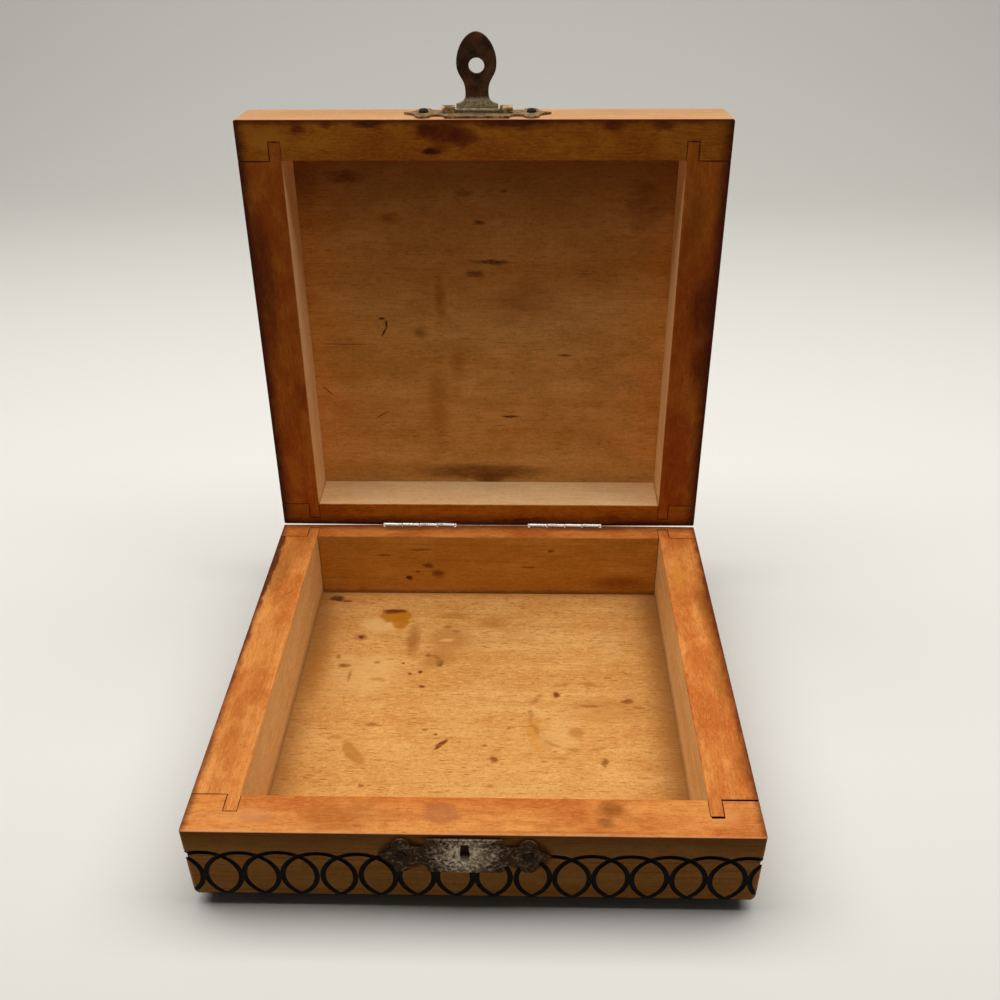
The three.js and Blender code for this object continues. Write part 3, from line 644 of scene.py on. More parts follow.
# Rim: beech under orange spirit stain, satin, blotchy where it soaked in, with dirt along the outer edges,
# stain and painted shade along the back edge and a painted highlight with wear along the front edge
base_joints = joint_lines(inner_front_y, inner_back_y, on_base_rim, "7c3a12", 0.6)
base_rim_marks = base_joints + (
    StainOrShade((-8, -64.5, rim_z), (5.8, 4.2, 3), ROSE, 0.75, 0.35),
    StainOrShade((-56, -67, rim_z), (5.5, 2.4, 3), ROSE, 0.7, 0.6),
    StainOrShade((-60, -66, rim_z), (12, 4.5, 3), PALE_STAIN, 0.5, 0.8),
    StainOrShade((-32, -66, rim_z), (18, 9.0, 3), TEA, 0.3, 0.8),
    StainOrShade((36, -62.5, rim_z), (5.6, 3.8, 3), WALNUT, 0.85, 0.7),
    StainOrShade((34.5, -67, rim_z), (4.0, 2.4, 3), WALNUT, 0.8, 0.8),
    StainOrShade((42, -66, rim_z), (6.0, 1.2, 3), TEA, 0.5, 0.8),
    StainOrShade((66, -65, rim_z), (5.0, 4.0, 3), PALE_STAIN, 0.5, 0.8),
    StainOrShade((-30, 69.5, rim_z), (16, 2.2, 3), WALNUT, 0.75, 0.7),
    StainOrShade((35, 70, rim_z), (22, 1.8, 3), CHESTNUT, 0.7, 0.7),
    StainOrShade((20, -70.5, rim_z), (40, 1.0, 3), TEA, 0.5, 0.9),
)
base_side_marks = base_joints + (
    StainOrShade((-75.5, 48, rim_z), (3.2, 32, 3), SOOT, 0.95, 0.3),
    StainOrShade((-75.5, 5, rim_z), (1.8, 30, 3), BURNT, 0.7, 0.5),
    StainOrShade((-66, 29.5, rim_z), (5.2, 0.3, 3), CHESTNUT, 0.75, 0.8, turn=(0, 0, 0.71), crisp=True),
    StainOrShade((74.5, 14, rim_z), (5.0, 44, 3), WALNUT, 0.9, 0.7),
    StainOrShade((75.5, 30, rim_z), (2.0, 48, 3), BURNT, 0.8, 0.5),
    StainOrShade((70, 62, rim_z), (3.4, 7, 3), TEA, 0.35, 0.7),
    StainOrShade((72, 27, rim_z), (4.2, 17, 3), WALNUT, 0.65, 0.8),
    StainOrShade((72, -12, rim_z), (4.0, 18, 3), TEA, 0.55, 0.8),
    StainOrShade((73, -46, rim_z), (3.2, 13, 3), WALNUT, 0.5, 0.8),
    StainOrShade((75.5, -40, rim_z), (1.8, 30, 3), UMBER, 0.7, 0.6),
    StainOrShade((66, 40, rim_z), (3.5, 14, 3), OCHRE, 0.55, 0.8),
    StainOrShade((-67, 58, rim_z), (8.0, 18, 3), TEA, 0.4, 0.8),
    StainOrShade((-71, 42, rim_z), (5.5, 20, 3), COFFEE, 0.5, 0.8),
    StainOrShade((-68, -12, rim_z), (9.0, 60, 3), TEA, 0.25, 0.7),
)
base_rim_edge_stain_shade_and_highlight = (
    Edge("X", front_low.x, 2.6, "5c260c", 0.8),
    Edge("X", front_high.x, 2.8, "5c260c", 0.8),
    # Stain and painted shade along the back edge, where the open lid shades the rim
    Edge("Y", back_high.y, 4.5, "6a2c0c", 0.75),
    # Painted highlight along the front edge, with some wear
    Edge("Y", front_low.y, 1.1, "d79a68", 0.5),
)
base_rim_x = grained_wood("orange_stained_beech_along_x", "X", RIM_TONES, fleck=0.4, speckle=0.28, cloud=0.65,
                          stains_and_shade=base_rim_marks, edges=base_rim_edge_stain_shade_and_highlight)
base_rim_y = grained_wood("orange_stained_beech_along_y", "Y", RIM_TONES, shift=37.0, fleck=0.4, speckle=0.28,
                          cloud=0.7, stains_and_shade=base_side_marks, edges=base_rim_edge_stain_shade_and_highlight)

# Inside: bare beech, dry and matt, golden brown with age, with drips on the back wall, and dirt and painted
# shade at the foot of the walls
inner_back_marks = (
    StainOrShade((-29, inner_back_y, 10), (1.6, 3, 1.5), OXBLOOD, 0.95, 0.6),
    StainOrShade((-26, inner_back_y, 12.5), (1.1, 3, 0.8), BURNT, 0.9, 0.6),
    StainOrShade((-22, inner_back_y, 15.5), (3.0, 3, 1.4), COFFEE, 0.85, 0.7),
    StainOrShade((-18.5, inner_back_y, 12), (3.6, 3, 2.6), COFFEE, 0.85, 0.8),
    StainOrShade((-37.5, inner_back_y, 20), (4.0, 3, 0.6), COFFEE, 0.7, 0.6),
    StainOrShade((-24.5, inner_back_y, 22.5), (6.0, 3, 0.6), COFFEE, 0.7, 0.6),
    StainOrShade((23, inner_back_y, 22), (1.6, 3, 0.9), UMBER, 0.8, 0.6),
    StainOrShade((15, inner_back_y, 15), (4.0, 3, 0.6), COFFEE, 0.7, 0.6),
    StainOrShade((48, inner_back_y, 8), (16, 3, 5.0), WALNUT, 0.7, 0.8),
)
# Darker towards the floor: dirt and painted shade in the corner
inner_dirt_and_shade_edges = (Edge("Z", floor_z, 2.2, "6b3c12", 0.6),)
base_inner_x = grained_wood("bare_beech_inside_along_x", "X", INNER_TONES, shift=11.0, cloud=0.5, line=0.3,
                            roughness=0.7, stains_and_shade=inner_back_marks, edges=inner_dirt_and_shade_edges)
# Darker towards the floor: dirt and painted shade in the corner
inner_side_dirt_and_shade_edges = (Edge("Z", floor_z, 5.0, "9a6a34", 0.65),)
base_inner_y = grained_wood("bare_beech_inside_lit_along_y", "Y", INNER_SIDE_LIT_TONES, shift=23.0, cloud=0.5,
                            line=0.5, roughness=0.7, edges=inner_side_dirt_and_shade_edges)

# Outside: beech under thin clear varnish, tan with fine dark lines, with painted shade and a rust-dark halo
# round the catch plate
catch_middle = (catch_low + catch_high) / 2
CATCH_LOBE = 15.8
catch_painted_shade_and_rust = (
    # Painted shade on the wood seen through the catch's window
    StainOrShade((catch_middle.x, front_low.y, catch_middle.z), (9.0, 4, 5.0), "1c0b05", 1.0, 0.2, crisp=True),
    # Painted shadow along the plate's top and bottom edges
    StainOrShade((catch_middle.x, front_low.y, catch_high.z), (14.5, 3, 1.2), "230b06", 0.95, 0.5, crisp=True),
    StainOrShade((catch_middle.x, front_low.y, catch_low.z), (14.5, 3, 0.8), "230b06", 0.8, 0.6, crisp=True),
) + tuple(
    # A dark halo round each lobe: rust stain and painted shadow
    StainOrShade((catch_middle.x + x, front_low.y, catch_middle.z), (7.5, 3, 6.6), "2c120a", 0.85, 0.3, crisp=True)
    for x in (-CATCH_LOBE, CATCH_LOBE)
)
outer_edges = (Edge("Z", rim_z, 8.5, "74431a", 0.6),)
outer_x = grained_wood("varnished_beech_outside_along_x", "X", OUTER_TONES, shift=5.0, line=0.6, cloud=0.35,
                       fleck=0.35, stains_and_shade=catch_painted_shade_and_rust, edges=outer_edges)
outer_y = grained_wood("varnished_beech_outside_along_y", "Y", OUTER_TONES, shift=61.0, line=0.6, cloud=0.35,
                       fleck=0.35, edges=outer_edges)

# Carving burnt black and matt, greyer where it is worn, dark brown glue in the joints, and the glue's dark
# brown underneath as painted shade
groove = dark_line("charred_carved_groove", "1d1a17", "343830")
glue_and_underside_shade = dark_line("dried_hide_glue_and_painted_underside_shade", "2c1006", "54260e")

# Floor: birch plywood, pale and finely flecked, with spots, drips and the ring of a wet cup, and bands of
# stain and painted shade along the walls
floor_marks = (
    StainOrShade((-56, 60, floor_z), (3.9, 2.1, 2), OXBLOOD, 1.0, 0.5),
    StainOrShade((-52, 58.5, floor_z), (2.6, 1.3, 2), WALNUT, 0.9, 0.6),
    StainOrShade((-57, 30, floor_z), (6.5, 26, 3), TAN, 0.6, 0.8),
    StainOrShade((-38, 44.5, floor_z), (10.0, 5.5, 3), RUBBED, 0.8, 0.6),
    StainOrShade((-40, 18, floor_z), (17, 14, 3), RUBBED, 0.6, 0.7),
    StainOrShade((-13, 37, floor_z), (12, 9.0, 3), TAN, 0.75, 0.7),
    StainOrShade((-33, 50, floor_z), (6.8, 4.6, 3), AMBER, 0.95, 0.3),
    StainOrShade((-31, 46.5, floor_z), (3.4, 4.6, 3), AMBER, 0.95, 0.35),
    StainOrShade((-34, 52.5, floor_z), (6.2, 1.7, 2), BURNT, 0.95, 0.5),
    StainOrShade((-44, 37.5, floor_z), (3.3, 2.3, 2), WALNUT, 0.95, 0.8),
    StainOrShade((-44, 37.5, floor_z), (1.1, 0.9, 2), BURNT, 1.0, 0.6),
    StainOrShade((-14, 44, floor_z), (2.4, 1.3, 2), TEA, 0.8, 0.7),
    StainOrShade((-11, 41.5, floor_z), (2.0, 1.6, 2), ROSE, 0.7, 0.7),
    StainOrShade((-19.5, 28, floor_z), (2.2, 1.1, 2), CHESTNUT, 0.95, 0.6),
    StainOrShade((-16.5, 27, floor_z), (2.2, 1.3, 2), CHESTNUT, 1.0, 0.6, turn=(0, 0, -0.8)),
    StainOrShade((-15.5, 24, floor_z), (2.2, 2.5, 2), OXBLOOD, 1.0, 0.6),
    StainOrShade((-19, 24, floor_z), (5.0, 3.6, 2), TAN, 0.75, 0.8),
    StainOrShade((-25.5, 36, floor_z), (3.6, 11.5, 3), TEA, 0.75, 0.7),
    StainOrShade((-15, 27.5, floor_z), (8.5, 6.5, 3), TAN, 0.75, 0.7),
    StainOrShade((-12, 50, floor_z), (7.0, 3.2, 3), TAN, 0.7, 0.7),
    StainOrShade((-21.5, 19.5, floor_z), (1.1, 0.9, 2), BURNT, 1.0, 0.6),
    StainOrShade((-25, 18.5, floor_z), (1.0, 0.8, 2), CHESTNUT, 1.0, 0.6),
    StainOrShade((-28, 24, floor_z), (0.8, 0.7, 2), CHESTNUT, 1.0, 0.6),
    StainOrShade((-20.5, 12, floor_z), (1.4, 1.1, 2), BURNT, 1.0, 0.6),
    StainOrShade((-37, 24, floor_z), (1.7, 1.0, 2), WALNUT, 0.8, 0.7),
    StainOrShade((-50.5, 27, floor_z), (1.2, 1.6, 2), TEA, 0.85, 0.7),
    StainOrShade((-48, 22.5, floor_z), (3.0, 1.9, 2), WALNUT, 0.9, 0.7),
    StainOrShade((-45.5, 17, floor_z), (0.9, 4.0, 2), TEA, 0.7, 0.7),
    StainOrShade((-35.5, 15.5, floor_z), (4.5, 1.6, 2), TAN, 0.7, 0.8),
    StainOrShade((-39.5, -18.5, floor_z), (7.4, 2.9, 2), TAN, 0.9, 0.4, turn=(0, 0, -0.95)),
    StainOrShade((-46, -11.5, floor_z), (4.0, 2.0, 2), TAN, 0.7, 0.8),
    StainOrShade((-35, -6, floor_z), (3.0, 1.2, 2), WALNUT, 0.85, 0.7),
    StainOrShade((-12.5, -14.5, floor_z), (4.2, 1.2, 2), CHESTNUT, 1.0, 0.5, turn=(0, 0, 0.8)),
    StainOrShade((-18, -8, floor_z), (1.4, 1.0, 2), TEA, 0.85, 0.7),
    StainOrShade((-14.5, -10, floor_z), (1.0, 0.8, 2), WALNUT, 0.85, 0.7),
    StainOrShade((1, -15, floor_z), (1.6, 0.9, 2), TEA, 0.7, 0.7),
    StainOrShade((4, -21, floor_z), (2.0, 1.8, 2), WALNUT, 0.9, 0.7),
    StainOrShade((3.5, -31.5, floor_z), (1.8, 1.2, 2), TEA, 0.7, 0.7),
    StainOrShade((-35.5, -32, floor_z), (1.4, 1.1, 2), WALNUT, 0.9, 0.7),
    StainOrShade((16.5, -7.5, floor_z), (2.6, 8.0, 3), OCHRE, 0.6, 0.7),
    StainOrShade((17.5, -15.5, floor_z), (3.0, 3.5, 3), OCHRE, 0.6, 0.8),
    StainOrShade((24.5, -20, floor_z), (4.5, 1.2, 2), TAN, 0.65, 0.7),
    StainOrShade((26, -10, floor_z), (9.0, 9.0, 3), RUBBED, 0.5, 0.8),
    StainOrShade((30, -9, floor_z), (3.6, 3.4, 2), TAN, 0.8, 0.6),
    StainOrShade((24, 8.5, floor_z), (1.6, 2.2, 2), CHESTNUT, 0.95, 0.7),
    StainOrShade((35, 3.5, floor_z), (5.0, 1.1, 2), WALNUT, 0.9, 0.7),
    StainOrShade((47, 6, floor_z), (3.0, 1.6, 2), CHESTNUT, 0.95, 0.7),
    StainOrShade((50.5, 3, floor_z), (2.6, 0.9, 2), TEA, 0.8, 0.7),
    StainOrShade((40, 2, floor_z), (20, 8.5, 3), TAN, 0.55, 0.8),
    StainOrShade((2, 46, floor_z), (8, 4.5, 3), TAN, 0.6, 0.7),
    StainOrShade((-14, 36.5, floor_z), (3.4, 1.4, 2), RUBBED, 0.7, 0.7),
    StainOrShade((38, -21.5, floor_z), (1.6, 2.6, 2), WALNUT, 0.85, 0.7),
)
CUP_RING_MIDDLE = (31.0, -1.0)
CUP_RING_RADIUS = 15.5
CUP_RING_ARC = (75, 110, 150, 180, 205, 235, 262, 290)


def cup_mark(angle):
    """A short arc of the ring that a wet cup left on the floor."""
    x = CUP_RING_MIDDLE[0] + CUP_RING_RADIUS * math.cos(angle)
    y = CUP_RING_MIDDLE[1] + CUP_RING_RADIUS * math.sin(angle)
    return StainOrShade((x, y, floor_z), (1.3, 5.0, 2), TEA, 0.5, 0.8, turn=(0, 0, angle))


cup_ring = tuple(cup_mark(math.radians(angle)) for angle in CUP_RING_ARC)
# Darker bands along the side and back walls: stain and painted shade in the corners
floor_stain_and_shade_edges = (
    Edge("X", -inner_x, 10.0, "a06a30", 0.6),
    Edge("X", inner_x, 11.0, "9a652e", 0.7),
    Edge("Y", inner_back_y, 4.0, "a8702f", 0.4),
)
floor_face = grained_wood("aged_birch_plywood_floor", "X", FLOOR_TONES, shift=83.0, fleck=0.75, speckle=0.35,
                          cloud=0.5, roughness=0.68, stains_and_shade=floor_marks + cup_ring, edges=floor_stain_and_shade_edges)
# Painted shade: the panel's sawn edge under the walls is coloured nearly black for the deep shadow there
floor_edge_painted_shade = plywood_edge("plywood_edge_painted_dark_as_shade", "Z", 3.0, "1c0a05", "140703", "0c0402")

# Finishes of the lid

# Rim: beech under brown stain, darker than the base, nearly black along the outer edges, with stain and
# painted shade along the lower edge at the seam.
lid_joints = joint_lines(lid_back_high.z - JOINT_GAP, lid_front_low.z + JOINT_GAP, on_lid_rim, "4a1c08", 0.75)
lid_rim_marks = lid_joints + (
    StainOrShade((-15.5, lid_rim_y, 162), (4.0, 3, 1.5), SOOT, 1.0, 0.5),
    StainOrShade((-11.5, lid_rim_y, 167.5), (8.5, 3, 4.4), BURNT, 0.9, 0.6),
    StainOrShade((-6, lid_rim_y, 166), (6.0, 3, 3.8), BURNT, 0.8, 0.6),
    StainOrShade((-17.5, lid_rim_y, 168.5), (5.0, 3, 3.2), OXBLOOD, 0.9, 0.7),
    StainOrShade((-13, lid_rim_y, 163), (5.0, 3, 1.6), BURNT, 0.7, 0.8),
    StainOrShade((-34, lid_rim_y, 170), (7.0, 3, 2.0), OXBLOOD, 0.95, 0.7),
    StainOrShade((-56, lid_rim_y, 168.5), (3.2, 3, 2.2), BURNT, 0.9, 0.7),
    StainOrShade((-47, lid_rim_y, 170), (2.2, 3, 1.8), BURNT, 0.8, 0.7),
    StainOrShade((-65.5, lid_rim_y, 165.5), (7.5, 3, 4.4), OCHRE, 0.6, 0.5),
    StainOrShade((10, lid_rim_y, 170.5), (17.0, 3, 3.0), OXBLOOD, 0.95, 0.7),
    StainOrShade((39, lid_rim_y, 169.5), (5.0, 3, 2.8), BURNT, 0.9, 0.7),
    StainOrShade((54, lid_rim_y, 169.5), (5.0, 3, 2.2), BURNT, 0.85, 0.7),
    StainOrShade((-35, lid_rim_y, 30.5), (15.0, 3, 3.2), SOOT, 0.95, 0.8),
    StainOrShade((12, lid_rim_y, 30.5), (24.0, 3, 3.0), OXBLOOD, 0.95, 0.8),
    StainOrShade((45, lid_rim_y, 32), (16.0, 3, 3.2), BURNT, 0.85, 0.8),
)
lid_side_marks = lid_joints + (
    StainOrShade((71, lid_rim_y, 112), (6.5, 3, 14.0), BURNT, 0.85, 0.6),
    StainOrShade((72, lid_rim_y, 92), (5.5, 3, 16.0), BURNT, 0.8, 0.7),
    StainOrShade((-71, lid_rim_y, 120), (5.0, 3, 34.0), OXBLOOD, 0.7, 0.7),
    StainOrShade((-63, lid_rim_y, 80), (3.0, 3, 10.0), CHESTNUT, 0.6, 0.8),
    StainOrShade((66, lid_rim_y, 140), (4.5, 3, 16.0), WALNUT, 0.6, 0.8),
)
lid_rim_edge_stain_and_shade = (
    Edge("X", -lid_front_high.x, 4.0, MAHOGANY, 0.95),
    Edge("X", lid_front_high.x, 4.6, MAHOGANY, 0.95),
    Edge("Z", lid_front_high.z, 2.2, "551f0e", 0.85),
    # Stain and painted shade along the lower edge, at the seam with the base
    Edge("Z", lid_back_low.z, 5.0, MAHOGANY, 0.9),
)
lid_rim_x = grained_wood("brown_stained_beech_along_x", "X", LID_RIM_TONES, shift=47.0, cloud=0.7, fleck=0.5,
                         stains_and_shade=lid_rim_marks, edges=lid_rim_edge_stain_and_shade)
lid_rim_z = grained_wood("brown_stained_beech_along_z", "Z", LID_SIDE_TONES, shift=71.0, cloud=0.7,
                         fleck=0.25, stains_and_shade=lid_side_marks, edges=lid_rim_edge_stain_and_shade)

# Inside: bare beech, paler than the base's as painted light, and outside: beech under clear varnish with a
# slight sheen
lid_inner_x = grained_wood("bare_beech_in_lid_lit_along_x", "X", LID_INNER_LIT_TONES, shift=13.0, cloud=0.4, line=0.2,
                           roughness=0.7)
lid_inner_z = grained_wood("bare_beech_in_lid_lit_along_z", "Z", LID_INNER_LIT_TONES, shift=29.0, cloud=0.4,
                           roughness=0.7)
lid_outer_x = grained_wood("varnished_beech_lid_along_x", "X", LID_OUTER_TONES, shift=91.0, cloud=0.3,
                           fleck=0.25, roughness=0.52)
lid_outer_z = grained_wood("varnished_beech_lid_along_z", "Z", LID_OUTER_TONES, shift=97.0, cloud=0.3,
                           fleck=0.25, roughness=0.52)

# Panel: birch plywood, bare and streaked inside with painted shade across its top under the rail, and under
# varnish outside
lid_panel_marks = (
    StainOrShade((-46, panel_y, 150), (11.0, 3, 3.0), BURNT, 0.95, 0.7),
    StainOrShade((-31.5, panel_y, 136), (6.0, 3, 3.0), COFFEE, 0.7, 0.8),
    StainOrShade((-7, panel_y, 144.5), (5.0, 3, 2.4), UMBER, 0.8, 0.7),
    StainOrShade((5.5, panel_y, 145.5), (3.0, 3, 1.6), OXBLOOD, 0.9, 0.7),
    StainOrShade((-2.5, panel_y, 135), (3.0, 3, 1.6), UMBER, 0.9, 0.7),
    StainOrShade((1.5, panel_y, 121.5), (9.0, 3, 1.5), UMBER, 0.95, 0.6),
    StainOrShade((-4, panel_y, 117.5), (5.5, 3, 1.8), COFFEE, 0.9, 0.7),
    StainOrShade((-16, panel_y, 109), (2.8, 3, 13.0), AMBER, 0.8, 0.8),
    StainOrShade((-23, panel_y, 96.5), (3.4, 3, 3.4), TEA, 0.8, 0.8),
    StainOrShade((-36, panel_y, 96.5), (0.55, 3, 2.6), OXBLOOD, 0.95, 0.6, turn=(0, 0.5, 0), crisp=True),
    StainOrShade((-35, panel_y, 99.5), (0.6, 3, 2.4), OXBLOOD, 0.95, 0.6, crisp=True),
    StainOrShade((-36.5, panel_y, 101.5), (1.8, 3, 0.7), UMBER, 0.9, 0.6, crisp=True),
    StainOrShade((-50, panel_y, 92), (12.0, 3, 0.3), UMBER, 0.8, 0.7, crisp=True),
    StainOrShade((-57.5, panel_y, 74), (0.3, 3, 3.8), UMBER, 0.9, 0.6, turn=(0, -0.75, 0), crisp=True),
    StainOrShade((-38.5, panel_y, 64.5), (4.0, 3, 0.3), UMBER, 0.85, 0.6, turn=(0, -0.5, 0), crisp=True),
    StainOrShade((13.5, panel_y, 107), (18.0, 3, 11.0), TEA, 0.5, 0.8),
    StainOrShade((-18, panel_y, 70), (5.0, 3, 22.0), AMBER, 0.5, 0.8),
    StainOrShade((-2, panel_y, 41), (32.0, 3, 4.6), COFFEE, 0.8, 0.7),
    StainOrShade((0, panel_y, 38), (8.0, 3, 3.2), COFFEE, 0.8, 0.8),
    StainOrShade((8, panel_y, 64), (4.4, 3, 0.7), UMBER, 0.95, 0.6),
    StainOrShade((-10.5, panel_y, 85), (4.4, 3, 8.0), AMBER, 0.6, 0.8),
    StainOrShade((42.5, panel_y, 66.5), (0.7, 3, 3.2), RUBBED, 0.7, 0.7, turn=(0, 0.5, 0)),
    StainOrShade((27, panel_y, 88), (3.6, 3, 0.6), COFFEE, 0.9, 0.6),
    StainOrShade((-59, panel_y, 146), (7.0, 3, 14.0), CHESTNUT, 0.6, 0.8),
    StainOrShade((52, panel_y, 140), (9.0, 3, 20.0), COFFEE, 0.55, 0.8),
)
PANEL_SHADE_DROP = 4.0
# Painted shade: the panel's inner face darkens towards its top, where the top rail shades it
lid_panel_painted_shade = (Edge("Z", panel_high.z - PANEL_SHADE_DROP, 36.0, "5c2600", 0.74),)
lid_panel_face = grained_wood("aged_birch_plywood_in_lid", "X", LID_PANEL_TONES, shift=19.0, cloud=0.45,
                              fleck=0.45, speckle=0.3, roughness=0.66, stains_and_shade=lid_panel_marks,
                              edges=lid_panel_painted_shade)
lid_panel_top = grained_wood("varnished_birch_plywood_lid_top", "X", LID_OUTER_TONES, shift=53.0, cloud=0.4,
                             line=0.35, roughness=0.5)
lid_panel_edge = plywood_edge("varnished_plywood_lid_edge", "Y", 4.0, "b98d5c", "8a5f36", "6b4424")

# Finishes of the fittings

# Catch plate: nickel-plated steel, rubbed silvery in the middle, matt brown tarnish on the lobes
catch_finish = worn_plating("nickel_plated_steel_brown_tarnish", "a69880", "503620", "24160a",
                            middle=tuple(catch_middle), bright_reach=6.5, tarnish_share=0.58, patch=1.0,
                            tarnish_metal=0.06)

# Hasp plate: the same plating gone to a dull bronze all over
hasp_plate_finish = worn_plating("nickel_plated_steel_bronze_tarnish", "b0946c", "62482c", "281a0e",
                                 tarnish_share=0.54, roughness=0.5)

# Hinges: nickel plating still bright, with hardly any tarnish
hinge_finish = worn_plating("bright_nickel_plated_hinge_steel", "d4d1ca", "a0968a", "857a6c",
                            tarnish_share=0.36, patch=5.0, roughness=0.26)

# Nails: blackened steel with a dull gleam
nail_finish = worn_plating("blackened_steel_nail", "30241c", "1a1009", "0c0704", patch=0.8, roughness=0.4,
                           metallic=0.85)

# Hasp tongue: dark oxidised steel, its foot rubbed grey
FOOT_HEIGHT = 4.2
tongue_finish = oxidised_tongue("oxidised_steel_rubbed_foot", tongue_low.z + FOOT_HEIGHT)

# Wooden frames


def paint_faces(piece, finishes, choose):
    """Gives each face the finish that `choose` picks from the face's middle, in millimetres, and normal."""
    for finish in finishes:
        piece.data.materials.append(finish)
    for face in piece.data.polygons:
        face.material_index = choose(face.center / MM, face.normal)


def base_face(middle, normal):
    """The rim's stain, bare wood inside the box, varnish outside, glue in the joints, and the glue's dark
    brown underneath as painted shade.
    """
    if normal.z > RIM_TILT and middle.z > rim_z - BASE_RIM_DEPTH:
        return RIM
    # Painted shade: the walls' underside takes the dark glue colour
    if normal.z < -RIM_TILT:
        return GLUE_AND_UNDERSIDE_SHADE
    inside_x = abs(middle.x) < inner_x + BASE_INNER_REACH
    inside_y = inner_front_y - BASE_INNER_REACH < middle.y < inner_back_y + BASE_INNER_REACH
    if inside_x and inside_y:
        return BARE
    within_x = abs(middle.x) < front_high.x - SKIN
    within_y = front_low.y + SKIN < middle.y < back_high.y - SKIN
    return GLUE_AND_UNDERSIDE_SHADE if within_x and within_y and abs(normal.z) < RIM_TILT else OUTER


def lid_face(middle, normal):
    """The same finishes, on the lid in its open place."""
    if normal.dot(lid_normal) > RIM_TILT and middle.y < lid_rim_y + LID_RIM_DEPTH:
        return RIM
    inside_x = abs(middle.x) < inner_x + BASE_INNER_REACH
    inside_z = lid_back_high.z - LID_INNER_REACH < middle.z < lid_front_low.z + LID_INNER_REACH
    if inside_x and inside_z:
        return BARE
    within_x = abs(middle.x) < front_high.x - SKIN
    within_z = lid_back_low.z + 2 * SKIN < middle.z < lid_front_high.z - 2 * SKIN
    return GLUE_AND_UNDERSIDE_SHADE if within_x and within_z and abs(normal.dot(lid_normal)) < RIM_TILT else OUTER


def floor_panel_face(middle, normal):
    """The panel's two broad faces, and its sawn edge."""
    return 0 if abs(normal.z) > PANEL_FLAT else 1


def lid_panel_side(middle, normal):
    """The panel's inner face, its varnished outer face, and its sawn edge."""
    if normal.y < -PANEL_FLAT:
        return 0
    return 1 if normal.y > PANEL_TOP_TILT else 2


def square_edge(piece, first, second):
    """Leaves the long edge between the two faces that look these ways sharp and a little proud."""
    work = bmesh.new()
    work.from_mesh(piece.data)
    proud = SEAM_PROUD * MM
    first_face = max(vertex.co.dot(first) for vertex in work.verts)
    second_face = max(vertex.co.dot(second) for vertex in work.verts)
    for vertex in work.verts:
        below_first = first_face - vertex.co.dot(first)
        below_second = second_face - vertex.co.dot(second)
        if max(below_first, below_second) < SEAM_EASE * MM and abs(vertex.co.x) < inner_x * MM:
            vertex.co += first * (below_first + proud) + second * (below_second + proud)
    bmesh.ops.remove_doubles(work, verts=work.verts, dist=WELD * MM)
    bmesh.ops.dissolve_degenerate(work, edges=work.edges, dist=WELD * MM)
    work.to_mesh(piece.data)
    work.free()


ring_tree = ring_chain_tree()


def ring_cutters(name, middle, step, turn, seed):
    """A wall's rings, shared between cutters so that none crosses itself; `turn` is from the front wall."""
    wobble = (step.normalized() + Vector((0, 0, 1))) * RING_WOBBLE * MM
    cutters = []
    for first in range(RING_SETS):
        cutters.append(grown(f"{name}_rings_{first}", ring_tree, {
            "Rings": (2 * half_row - first) // RING_SETS + 1,
            "First ring": (middle + step * (first - half_row)) * MM,
            "Step": step * RING_SETS * MM,
            "Turn": Vector((math.pi / 2 - RING_LEAN, 0, turn)),
            "Ring radius": RING_RADIUS * MM,
            "Groove radius": GROOVE_RADIUS * MM,
            "Least wobble": -wobble,
            "Most wobble": wobble,
            "Seed": seed + first,
            "Groove finish": groove,
        }))
    return cutters


def carve(piece, cutters):
    """Cuts shapes out of a piece; the cut faces keep the cutter's finish."""
    for cutter in cutters:
        cut = piece.modifiers.new(cutter.name, "BOOLEAN")
        cut.operation = "DIFFERENCE"
        cut.solver = "MANIFOLD"
        cut.material_mode = "TRANSFER"
        cut.object = cutter
    bake_modifiers(piece)


along_front = Vector((front_pitch, 0, 0))
along_side = Vector((0, side_pitch, 0))
front_rings = ring_cutters("front", Vector((RING_SHIFT, front_low.y, ring_z)), along_front, 0, 3)
back_rings = ring_cutters("back", Vector((0, back_high.y, ring_z)), along_front, math.pi, 13)
left_rings = ring_cutters("left", Vector((left_low.x, 0, ring_z)), along_side, -math.pi / 2, 23)
right_rings = ring_cutters("right", Vector((right_high.x, 0, ring_z)), along_side, math.pi / 2, 33)

tongue_side = inner_x + TONGUE_THICKNESS
tongue_end_y = inner_front_y - TONGUE_LENGTH
open_joint = [
    box_cutter("open_shoulder",
               (tongue_side + 2 * JOINT_GAP, inner_front_y - OPEN_SHOULDER, front_low.z - CUT_PAST),
               (right_high.x + CUT_PAST, inner_front_y + JOINT_GAP, rim_z + CUT_PAST)),
    box_cutter("open_tongue_end",
               (inner_x + JOINT_GAP, tongue_end_y - OPEN_TONGUE_END, front_low.z + OPEN_TONGUE_FLOOR),
               (tongue_side + JOINT_GAP, tongue_end_y + JOINT_GAP, rim_z + CUT_PAST)),
]
for cutter in open_joint:
    cutter.data.materials.append(groove)

across_finishes = (base_rim_x, base_inner_x, outer_x, glue_and_underside_shade)
side_finishes = (base_rim_y, base_inner_y, outer_y, glue_and_underside_shade)
walls = {
    "base_front_wall": (across_finishes, front_rings + left_rings + right_rings + open_joint),
    "base_back_wall": (across_finishes, back_rings + left_rings + right_rings),
    "base_left_wall": (side_finishes, left_rings),
    "base_right_wall": (side_finishes, right_rings),
}
for node, (finishes, cutters) in walls.items():
    wall = copy_of(node)
    paint_faces(wall, finishes, base_face)
    carve(wall, cutters)
    if node == "base_back_wall":
        square_edge(wall, Vector((0, 0, 1)), Vector((0, 1, 0)))
    settle(wall, [node], "base")

